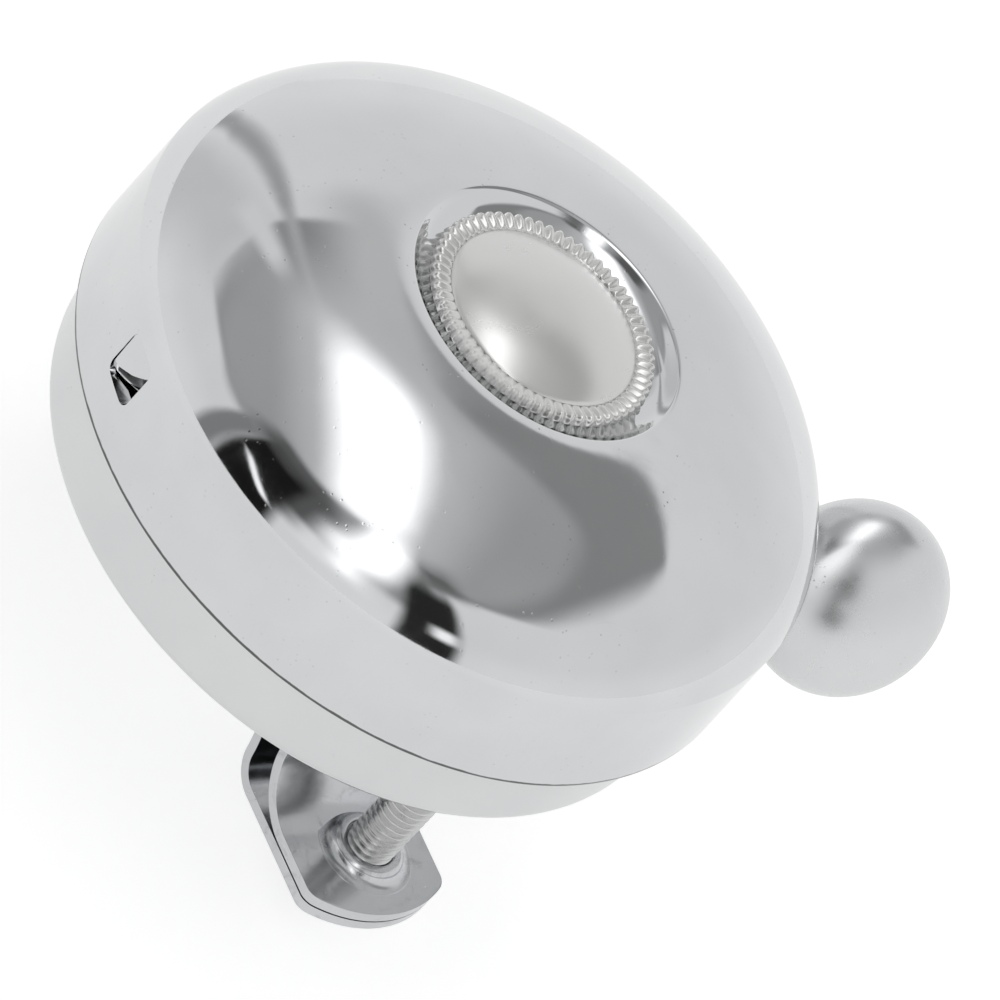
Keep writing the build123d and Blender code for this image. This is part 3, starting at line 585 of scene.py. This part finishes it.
def lug_tab(start):
    """A pressed-in lug: it bends away from the wall at its first edge and leans inwards to a free tip."""
    wall = GONG_R - 0.12 * MM
    steps, thick = 14, GONG_T * 0.9
    verts = []
    heights = np.array([0.0, 0.06, 0.2, 0.5, 0.8, 0.94, 1.0])
    low, high = LUG_LOW + 0.12 * MM, LUG_HIGH - 0.12 * MM
    for layer in (0, 1):
        for i in range(steps + 1):
            t = i / steps
            turn = start - rad(0.5) + (LUG_SPAN - rad(0.1)) * t
            depth = (0.02 + 2.3 * (t**1.25)) * MM
            pinch = 1 - 0.16 * t**2
            for h in heights:
                edge = 0.10 * MM * (1 if h in (0.0, 1.0) else 0)
                middle = (low + high) / 2
                z = middle + (low + (high - low) * h - middle) * pinch
                r = wall - depth - (thick - edge if layer else edge)
                verts.append((r * math.cos(turn), r * math.sin(turn), z))
    return thick_sheet("tab", verts, steps + 1, len(heights))


gong = join("gong_shell_with_lugs", [shell] + [lug_tab(start) for start in LUG_STARTS])
gong.data.shade_smooth()
gong.data.set_sharp_from_angle(angle=rad(38))
dress(gong, "bell", "gong_chrome", "gong")

# ---------------------------------------------------------------- cap

CAP_FLUTES = 64
CAP_DISC_R = 8.0 * MM
FLUTE_STEPS = 12
FLUTE_DEPTH, FLUTE_DROP = 0.24 * MM, 0.20 * MM
disc_edge = RIM_Z + 18.1 * MM


def fluted_cap():
    """A domed disc in a ring of rounded flutes that run over the ring's edge."""
    rise = cap_high.z - disc_edge
    rows = []  # radius, height, flute share
    for t in np.linspace(0, 1, 40):
        rows.append((CAP_DISC_R * t, cap_high.z - rise * t**3.0, 0.0))
    rows[-1] = (CAP_DISC_R, disc_edge, 0.0)
    ring_in, ring_out = CAP_DISC_R + 0.12 * MM, CAP_R
    rows.append((ring_in, disc_edge - 0.12 * MM, 0.0))
    for t in np.linspace(0, 1, 16):
        r = ring_in + 0.1 * MM + (ring_out - ring_in - 0.1 * MM) * (0.5 - 0.5 * math.cos(t * math.pi * 0.98))
        z = disc_edge - 0.02 * MM + 0.30 * MM * math.sin(min(t * 1.25, 1.0) * math.pi * 0.5)
        if t > 0.6:
            z -= 0.62 * MM * ((t - 0.6) / 0.4) ** 2.2
        share = min(1.0, t / 0.12)
        rows.append((r, z, share))
    rows.append((ring_out, RECESS_Z + 0.35 * MM, 1.0))
    rows.append((ring_out - 0.12 * MM, RECESS_Z + 0.08 * MM, 0.6))
    rows.append((ring_out - 0.6 * MM, RECESS_Z + 0.01 * MM, 0.0))
    segments = CAP_FLUTES * FLUTE_STEPS
    verts, faces = [(0, 0, cap_high.z)], []
    for r, z, share in rows[1:]:
        for k in range(segments):
            a = 2 * math.pi * k / segments
            wave = 0.5 - 0.5 * math.cos(a * CAP_FLUTES)
            groove = 1 - wave**0.8
            cut_r = r - FLUTE_DEPTH * share * groove
            verts.append((cut_r * math.cos(a), cut_r * math.sin(a), z - FLUTE_DROP * share * groove))
    for k in range(segments):
        faces.append([0, 1 + k, 1 + (k + 1) % segments])
    for row in range(len(rows) - 2):
        for k in range(segments):
            n = (k + 1) % segments
            a, b = 1 + row * segments, 1 + (row + 1) * segments
            faces.append([a + k, b + k, b + n, a + n])
    last = 1 + (len(rows) - 2) * segments
    faces.append([last + k for k in range(segments)])
    return add_object("cap_top", verts, faces)


NUT_R = 3.9 * MM
cap_top = fluted_cap()
nut = lathe(
    "cap_nut",
    round_corners([(0, RECESS_Z), (NUT_R, RECESS_Z), (NUT_R, cap_low.z), (0, cap_low.z)], 0.15 * MM),
    128,
)
cap = join("fluted_cap", [cap_top, nut])
cap.data.shade_smooth()
cap.data.set_sharp_from_angle(angle=rad(60))
dress(cap, "bell", "cap_nickel", "gong_cap")

# ---------------------------------------------------------------- base pan


def pan_profile():
    """The pan's outer line from its floor's middle out, round the corner and up to the lip."""
    floor = line((0.05 * MM, pan_low.z), (PAN_R - 1.4 * MM, pan_low.z), 14)
    corner, _ = arc((PAN_R - 1.4 * MM, pan_low.z), (PAN_R - 0.1 * MM, pan_low.z + 1.3 * MM), (1, 0), 18)
    wall = line((PAN_R - 0.1 * MM, pan_low.z + 1.3 * MM), (PAN_R, pan_high.z), 40)
    return chain(floor, corner, wall)


lever_low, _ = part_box("thumb_lever")
SLOT_LOW, SLOT_HIGH = lever_low.z - 0.45 * MM, lever_low.z + 2.05 * MM
slot_turns = [
    math.atan2(v.co.y, v.co.x)
    for v in frame["nodes"]["base_pan"].data.vertices
    if v.co.xy.length > PAN_R - 0.35 * MM and min(abs(v.co.z - SLOT_LOW), abs(v.co.z - SLOT_HIGH)) < 0.01 * MM
]
slot_from, slot_to = min(slot_turns), max(slot_turns)

pan_line = pan_profile()[::-1].copy()
pan_line = snap_rows(pan_line, (SLOT_LOW, SLOT_HIGH), 40)
pan_inner = offset_inward(pan_line, -PAN_T)
pan_inner[:, 0] = np.maximum(pan_inner[:, 0], 0.05 * MM)
pan_inner[0, 1] = pan_high.z
lever_slot = (slot_from, slot_to, SLOT_LOW, SLOT_HIGH)
pan = windowed_shell("pan_shell", pan_line, pan_inner, [lever_slot], 480, 0.5 * MM)
pan.name = "pan"
pan.data.set_sharp_from_angle(angle=rad(38))
dress(pan, "bell", "pan_chrome", "base_pan")

# ---------------------------------------------------------------- thumb knob


def knob():
    """The pressed disc of the knob: crowned face, rounded rim and a rolled edge behind."""
    centre = Vector((37.9 * MM, -14.3 * MM, RIM_Z - 1.0 * MM))
    face_turn, lift = rad(-111.2), rad(27.0)
    out = Vector((math.cos(lift) * math.cos(face_turn), math.cos(lift) * math.sin(face_turn), math.sin(lift)))
    radius, front, back, rim = 8.3 * MM, 5.2 * MM, 2.6 * MM, 3.9 * MM
    crown = (radius**2 + front**2 - 2 * radius * rim) / (2 * (front - rim))
    join_turn = math.atan2(crown - front, radius - rim)
    rows = [(0.0, front)]
    for t in np.linspace(math.pi / 2, join_turn, 40)[1:]:
        rows.append((crown * math.cos(t), front - crown + crown * math.sin(t)))
    tail = -math.asin((back - 0.3 * MM) / rim)
    for t in np.linspace(join_turn, tail, 48)[1:]:
        rows.append((radius - rim + rim * math.cos(t), rim * math.sin(t)))
    last_r = rows[-1][0]
    rows += [(last_r - 0.12 * MM, -back + 0.12 * MM), (last_r - 0.4 * MM, -back), (last_r - 0.9 * MM, -back)]
    rows += [(last_r - 1.2 * MM, -back + 0.25 * MM), (last_r - 1.6 * MM, -back + 0.35 * MM)]
    rows += [(3.4 * MM, -back + 0.35 * MM)]
    rows += [(3.1 * MM, -back + 0.05 * MM), (2.9 * MM, -back), (0.0, -back)]
    obj = lathe("knob", rows, 256)
    obj.data.transform(Matrix.Translation(centre) @ out.to_track_quat("Z", "Y").to_matrix().to_4x4())
    return obj


thumb = knob()
thumb.data.set_sharp_from_angle(angle=rad(45))
dress(thumb, "lever", "knob_chrome", "thumb_knob")

# ---------------------------------------------------------------- clamp straps


def strip(name, path, thick, low_x, high_x, corner, end, fillet=0.6 * MM, columns=26):
    """A pressed strap: a strip that follows a path in the YZ plane, thick on the left side of it,
    with straight sides and bowed ends."""
    path = np.array(path, float)
    normal = left_normals(path)
    middle, half = (low_x + high_x) / 2, (high_x - low_x) / 2
    rise = end - corner
    bow = (half**2 + rise**2) / (2 * rise)
    across = np.sin(np.linspace(-math.pi / 2, math.pi / 2, columns + 1)) * half
    verts = []

    def limit(x):
        """How far out the strap reaches at this place across its width."""
        reach = corner + math.sqrt(bow**2 - x**2) - (bow - rise)
        gap = half - abs(x)
        if gap < fillet:
            reach -= fillet - math.sqrt(max(fillet**2 - (fillet - gap) ** 2, 0))
        return reach

    for side in (0.0, 1.0):
        for x in across:
            most = limit(x)
            for (y, z), (ny, nz) in zip(path, normal):
                if abs(y) > corner - 1.5 * MM:
                    flat = corner - 1.5 * MM
                    y = math.copysign(flat + (abs(y) - flat) * (most - flat) / (end - flat), y)
                verts.append((middle + x, y + side * thick * ny, z + side * thick * nz))
    return thick_sheet(name, verts, columns + 1, len(path))


def drill(obj, places, radius, low, high, segments=96):
    """Cuts round holes along Z."""
    for x, y in places:
        cutter = lathe("cutter", [(0, low), (radius, low), (radius, high), (0, high)], segments, (x, y))
        cut_away(obj, cutter)


SCREW_Y = 20.5 * MM
screw_places = [(0, SCREW_Y), (0, -SCREW_Y)]
STRAP_T = 0.9 * MM
BAR_R = 11.1 * MM
EAR_BOW = 2.4 * MM
STRAP_SOFT = 0.16 * MM
SADDLE_HOLE_R, STRAP_HOLE_R = 2.05 * MM, 2.2 * MM


def mirrored(points):
    """A path from its left half: the right half mirrors it."""
    left = np.array(points)
    right = left[::-1] * (-1, 1)
    return chain(left, right)


ear_z = saddle_low.z
crown_z = saddle_high.z - STRAP_T
side_y = BAR_R + STRAP_T + 1.0 * MM
crown_r = 6.5 * MM
ear_bend = 5.0 * MM + STRAP_T
bend_start, bend_end = (-side_y - ear_bend, ear_z), (-side_y, ear_z + ear_bend)
# The inner face of the saddle: ear, bend up, side, crown bend, top. Its thickness stands outside the path.
bend, _ = arc(bend_start, bend_end, (1, 0), 40)
crown_bend, _ = arc((-side_y, crown_z - crown_r), (-side_y + crown_r, crown_z), (0, 1), 24)
saddle_path = mirrored(
    chain(
        line((-saddle_high.y, ear_z), bend_start, 24),
        bend,
        line(bend_end, (-side_y, crown_z - crown_r), 6),
        crown_bend,
        line((-side_y + crown_r, crown_z), (0, crown_z), 8),
    )
)
saddle_end, saddle_corner = saddle_high.y, saddle_high.y - EAR_BOW
saddle = strip("saddle", saddle_path, STRAP_T, saddle_low.x, saddle_high.x, saddle_corner, saddle_end)
drill(saddle, screw_places, SADDLE_HOLE_R, ear_z - 1 * MM, ear_z + 3.5 * MM)
soften(saddle, STRAP_SOFT)


def collar(y):
    """The raised, flared neck round a screw hole."""
    top = ear_z + STRAP_T
    rows = [(SADDLE_HOLE_R, top - 0.3 * MM), (SADDLE_HOLE_R, top + 0.85 * MM)]
    rows += [(2.2 * MM, top + 1.0 * MM), (2.7 * MM, top + 0.98 * MM)]
    for t in np.linspace(0, 1, 14):
        a = math.pi / 2 * t
        flare_z = top + 0.02 * MM + 0.72 * MM * (1 - math.sin(a))
        rows.append((3.0 * MM + 1.2 * MM * (1 - math.cos(a)), flare_z))
    rows.append((4.2 * MM, top - 0.3 * MM))
    return lathe("collar", round_corners(rows, 0.12 * MM, 3), 128, (0, y), closed=True)


saddle = join("saddle_strap", [saddle] + [collar(y) for _, y in screw_places])
saddle.data.shade_smooth()
saddle.data.set_sharp_from_angle(angle=rad(35))
dress(saddle, "bell", "clamp_zinc", "clamp_saddle")

foot_r = 3.0 * MM
foot = math.sqrt(BAR_R**2 + 2 * BAR_R * foot_r)
foot_share = BAR_R / (BAR_R + foot_r)
foot_join = (-foot * foot_share, foot_r * foot_share)
foot_bend, _ = arc((-foot, strap_low.z), foot_join, (1, 0), 24)
turns = np.linspace(math.atan2(foot_join[1], foot_join[0]), math.pi / 2, 48)
arch = np.stack([BAR_R * np.cos(turns), BAR_R * np.sin(turns)], -1)
strap_path = mirrored(chain(line((-strap_high.y, strap_low.z), (-foot, strap_low.z), 30), foot_bend, arch))
strap_end, strap_corner = strap_high.y, strap_high.y - EAR_BOW
strap = strip("strap", strap_path, STRAP_T, strap_low.x, strap_high.x, strap_corner, strap_end)
drill(strap, screw_places, STRAP_HOLE_R, -1 * MM, 3 * MM)
soften(strap, STRAP_SOFT)
strap.name = "lower_strap"
strap.data.set_sharp_from_angle(angle=rad(35))
dress(strap, "clamp", "clamp_zinc", "clamp_strap")

# ---------------------------------------------------------------- screws and washers


HEAD_R = 3.7 * MM
WASHER_HOLE_R, WASHER_R = 2.15 * MM, 4.3 * MM


def threaded_screw(y):
    """An M4 screw with a real helical thread, a conical tip and a domed, slotted head."""
    pitch, outer, depth = 0.7 * MM, 2.0 * MM, 0.38 * MM
    bottom, top = washer_low.z, screw_high.z
    around, steps = 72, 10
    turns = int((top - bottom) / pitch) + 2
    verts, faces = [], []
    shape = [0.0, 0.0, 0.35, 0.75, 1.0, 1.0, 0.75, 0.35, 0.0, 0.0]
    rows = turns * steps
    for i in range(rows + 1):
        for k in range(around):
            a = 2 * math.pi * k / around
            z = bottom + (i / steps - 1) * pitch + pitch * k / around
            r = outer - depth * (1 - shape[i % steps])
            z = min(max(z, bottom), top)
            r = min(r, outer - 0.5 * MM + (top - z) * 1.0)
            verts.append((r * math.cos(a), y + r * math.sin(a), z))
    for i in range(rows):
        for k in range(around):
            n = (k + 1) % around
            lift = steps if n == 0 else 0
            a, b = i * around + k, (i + 1) * around + k
            if i + 1 + lift > rows:
                continue
            faces.append([a, (i + lift) * around + n, (i + 1 + lift) * around + n, b])
    shaft = add_object("shaft", verts, faces)
    bm = bmesh.new()
    bm.from_mesh(shaft.data)
    bmesh.ops.remove_doubles(bm, verts=bm.verts, dist=1e-7)
    bmesh.ops.holes_fill(bm, edges=bm.edges, sides=0)
    bmesh.ops.recalc_face_normals(bm, faces=bm.faces)
    bm.to_mesh(shaft.data)
    bm.free()
    low = screw_low.z
    head_rows = [(0, low), (2.2 * MM, low), (3.1 * MM, low + 0.35 * MM), (3.62 * MM, low + 1.0 * MM)]
    head_rows += [(HEAD_R, bottom - 0.3 * MM), (HEAD_R, bottom), (0, bottom)]
    head = lathe("head", round_corners(head_rows, 0.3 * MM), 128, (0, y))
    slot_x, slot_y = (-5 * MM, 5 * MM), (y - 0.55 * MM, y + 0.55 * MM)
    slot_z = (low - 1 * MM, low + 1.2 * MM)
    slot = add_object(
        "slot",
        [(corner_x, corner_y, corner_z) for corner_x in slot_x for corner_y in slot_y for corner_z in slot_z],
        [(0, 1, 3, 2), (4, 6, 7, 5), (0, 4, 5, 1), (2, 3, 7, 6), (0, 2, 6, 4), (1, 5, 7, 3)],
        smooth=False,
    )
    cut_away(head, slot)
    return [shaft, head]


screws = join("threaded_screws", [part for _, y in screw_places for part in threaded_screw(y)])
screws.data.shade_smooth()
screws.data.set_sharp_from_angle(angle=rad(50))
dress(screws, "clamp", "screw_zinc", "clamp_screws")

def washer(place):
    """A flat washer with eased edges. Its outline starts and ends inside the hole's straight wall."""
    seam = (WASHER_HOLE_R, -0.4 * MM)
    rows = [seam, (WASHER_HOLE_R, washer_high.z), (WASHER_R, washer_high.z)]
    rows += [(WASHER_R, washer_low.z), (WASHER_HOLE_R, washer_low.z), seam]
    return lathe("washer", round_corners(rows, 0.16 * MM), 128, place)


washers = join("washers", [washer(place) for place in screw_places])
washers.data.shade_smooth()
washers.data.set_sharp_from_angle(angle=rad(50))
dress(washers, "clamp", "screw_zinc", "clamp_washers")

# ---------------------------------------------------------------- floor, studio and camera

FLOOR_HALF = 3
corners = [(x * FLOOR_HALF, y * FLOOR_HALF, cad_box[0].z) for x, y in ((-1, -1), (1, -1), (1, 1), (-1, 1))]
floor = add_object("floor", corners, [(0, 1, 2, 3)])
paper = bpy.data.materials.new("floor_paper")
paper.use_nodes = True
paper_nodes = Nodes(paper.node_tree)
paper_shader = paper.node_tree.nodes["Principled BSDF"]
paper_where = paper_nodes.new("ShaderNodeTexCoord").outputs["Object"]
paper_grain = paper_nodes.noise(paper_where, 900, 3)
paper_nodes.link(
    paper_nodes.mix(paper_nodes.span(paper_grain, 0.3, 0.7), (0.53, 0.53, 0.53, 1), (0.55, 0.55, 0.55, 1)),
    paper_shader.inputs["Base Color"],
)
paper_shader.inputs["Roughness"].default_value = 0.9
paper_shader.inputs["Emission Color"].default_value = (1, 1, 1, 1)
# The paper glows a little more where the camera looks at it than where it lights the bell.
paper_seen = paper_nodes.new("ShaderNodeLightPath").outputs["Is Camera Ray"]
paper_glow = paper_nodes.math("MULTIPLY_ADD", paper_seen, 0.14, 0.535)
paper_nodes.link(paper_glow, paper_shader.inputs["Emission Strength"])
floor.data.materials.append(paper)

world = bpy.data.worlds.new("studio")
bpy.context.scene.world = world
world.use_nodes = True
w = Nodes(world.node_tree)
background = world.node_tree.nodes["Background"]
direction = w.new("ShaderNodeTexCoord").outputs["Generated"]
split = w.new("ShaderNodeSeparateXYZ")
w.link(direction, split.inputs[0])
DEG = 180 / math.pi
compass = w.math("MULTIPLY", w.math("ARCTAN2", split.outputs[1], split.outputs[0]), DEG)
height = w.math("MULTIPLY", w.math("ARCSINE", w.math("MULTIPLY", split.outputs[2], 0.99999)), DEG)

zenith = w.math("MAXIMUM", split.outputs[2], 0.02)
roof_x = w.math("DIVIDE", split.outputs[0], zenith)
roof_y = w.math("DIVIDE", split.outputs[1], zenith)
horizon = w.span(height, 2, 26, 1.0, 0.0, smooth=True)
light = w.mix(horizon, (0.835, 0.84, 0.845, 1), (0.90, 0.905, 0.91, 1))


def card(value, azimuth, half, low, high, soft=(3, 3, 3, 3), lean=0.0, taper=0.0):
    """A card, lamp or flag on the studio's wall: its compass place and half width, its lower and upper
    height, all in degrees, and how soft its left, right, lower and upper edges are. lean and taper
    move and widen it with height."""
    climb = w.math("SUBTRACT", height, low)
    middle = w.math("MULTIPLY_ADD", climb, lean, azimuth)
    turned = w.math("WRAP", w.math("SUBTRACT", compass, middle), 180.0, -180.0)
    reach = w.math("MULTIPLY_ADD", climb, taper, half)
    from_left = w.math("ADD", turned, reach)
    from_right = w.math("SUBTRACT", reach, turned)
    left = w.span(from_left, -soft[0], soft[0], smooth=True)
    right = w.span(from_right, -soft[1], soft[1], smooth=True)
    under = w.span(height, low - soft[2], low + soft[2], smooth=True)
    over = w.span(height, high - soft[3], high + soft[3], 1.0, 0.0, smooth=True)
    return value, w.math("MULTIPLY", w.math("MULTIPLY", left, right), w.math("MULTIPLY", under, over))


def roof(value, edges, share=1.0):
    """A flat panel overhead, one unit up. Each edge is its compass direction, distance and softness."""
    mask = w.math("MULTIPLY", w.math("GREATER_THAN", split.outputs[2], 0.02), share)
    for turn, reach, soft in edges:
        along = w.math("MULTIPLY", roof_x, math.cos(rad(turn)))
        along = w.math("MULTIPLY_ADD", roof_y, math.sin(rad(turn)), along)
        mask = w.math("MULTIPLY", mask, w.span(along, reach - soft, reach + soft, 1.0, 0.0, smooth=True))
    return value, mask


# The grey roof's darker sloping border and its flat middle.
BORDER = [(0, 1.03, 0.03), (64, 1.02, 0.03), (92, 1.07, 0.03), (125, 1.0, 0.10), (200, 0.9, 0.3)]
BORDER += [(270, 0.68, 0.08), (300, 0.76, 0.12), (330, 1.0, 0.06)]
MIDDLE = [(0, 0.62, 0.05), (45, 0.78, 0.10), (100, 0.80, 0.12), (200, 0.9, 0.3), (270, 0.6, 0.08)]
MIDDLE += [(300, 0.60, 0.08), (332, 0.58, 0.07)]
# Brightness and mask of each layer, painted in this order.
layers = [
    roof(0.29, BORDER),
    roof(0.42, MIDDLE),
    card(0.44, 112, 34, 46, 66, (14, 16, 6, 8)),
    card(0.60, 48, 13, 39, 66, (4, 14, 3, 8)),
    card(0.50, 75, 2.0, -10, 60, (2.5, 2.5, 4, 4)),
    roof(0.66, [(138, 0.40, 0.15), (318, 0.22, 0.14), (58, 0.64, 0.16), (238, 0.42, 0.12)]),
    # a stand behind the tent's wall
    card(0.42, 75, 1.8, -10, 42, (2.5, 2.5, 4, 3)),
    card(0.68, 96, 14, -10, 44, (6, 16, 6, 6)),
    card(0.80, 86, 4.0, 36, 52, (3, 3, 4, 4)),
    # black flag left of the lens, with a soft edge over it
    card(0.27, 167, 4.5, -5, 46, (2, 3, 3, 6)),
    card(0.13, 183, 20, 47, 63, (8, 10, 7, 4)),
    card(0.12, 196, 9, 16, 57, (4, 6, 6, 6)),
    card(0.012, 184, 11.5, -9, 51, (1.5, 3, 3, 8), -0.02),
    # the bright gap in it
    card(1.4, 190.5, 2.2, 12, 27, (1.4, 1.4, 2, 2), -0.9),
    # black flag right of the lens, and the bright gap in it
    card(0.30, 239, 9, 25, 62, (8, 3, 6, 4)),
    card(0.025, 246.5, 9.0, -9, 52, (2.5, 2.5, 2, 9)),
    card(0.16, 256, 9, 55, 66, (5, 7, 6, 4)),
    card(1.25, 251, 3.6, 14, 23, (3, 3, 3, 3)),
    # the long lamp, over the lens and on overhead
    card(1.0, 213, 13, 10, 26, (8, 8, 4, 4)),
    card(2.0, 219, 9, 33, 70, (8, 8, 9, 5), 0.35, 0.06),
    card(1.8, 218, 3, 16, 36, (6, 6, 5, 3)),
    roof(2.2, [(138, 0.21, 0.12), (318, 0.06, 0.08), (58, 0.46, 0.16), (238, 0.33, 0.12)]),
]
for value, mask in layers:
    light = w.mix(mask, light, (value * 0.995, value, value * 1.005, 1))
# Rays straight from the camera see a plain pale world.
straight = w.new("ShaderNodeLightPath").outputs["Is Camera Ray"]
light = w.mix(straight, light, (0.96, 0.96, 0.96, 1))
w.link(light, background.inputs["Color"])
background.inputs["Strength"].default_value = 1.0

bpy.context.scene.view_settings.view_transform = "Standard"

camera_data = bpy.data.cameras.new("camera")
camera_data.lens = 256
camera_data.clip_start, camera_data.clip_end = 0.02, 10
camera = bpy.data.objects.new("camera", camera_data)
bpy.context.scene.collection.objects.link(camera)
bpy.context.scene.camera = camera

VIEW_TURN, VIEW_LIFT, VIEW_ROLL, VIEW_DISTANCE = rad(-58), rad(39.05), rad(42.71), 0.540
level = Vector((math.cos(VIEW_TURN), math.sin(VIEW_TURN), 0))
away = Vector((-math.sin(VIEW_TURN), math.cos(VIEW_TURN), 0))
upright = away * math.sin(VIEW_LIFT) + Vector((0, 0, math.cos(VIEW_LIFT)))
forward = away * math.cos(VIEW_LIFT) - Vector((0, 0, math.sin(VIEW_LIFT)))
right = level * math.cos(VIEW_ROLL) + upright * math.sin(VIEW_ROLL)
up = upright * math.cos(VIEW_ROLL) - level * math.sin(VIEW_ROLL)
aim = Vector((0, 0, RIM_Z)) + right * 6.18 * MM - up * 3.33 * MM
place = aim - forward * VIEW_DISTANCE
camera.matrix_world = Matrix([(right[i], up[i], -forward[i], place[i]) for i in range(3)] + [(0, 0, 0, 1)])
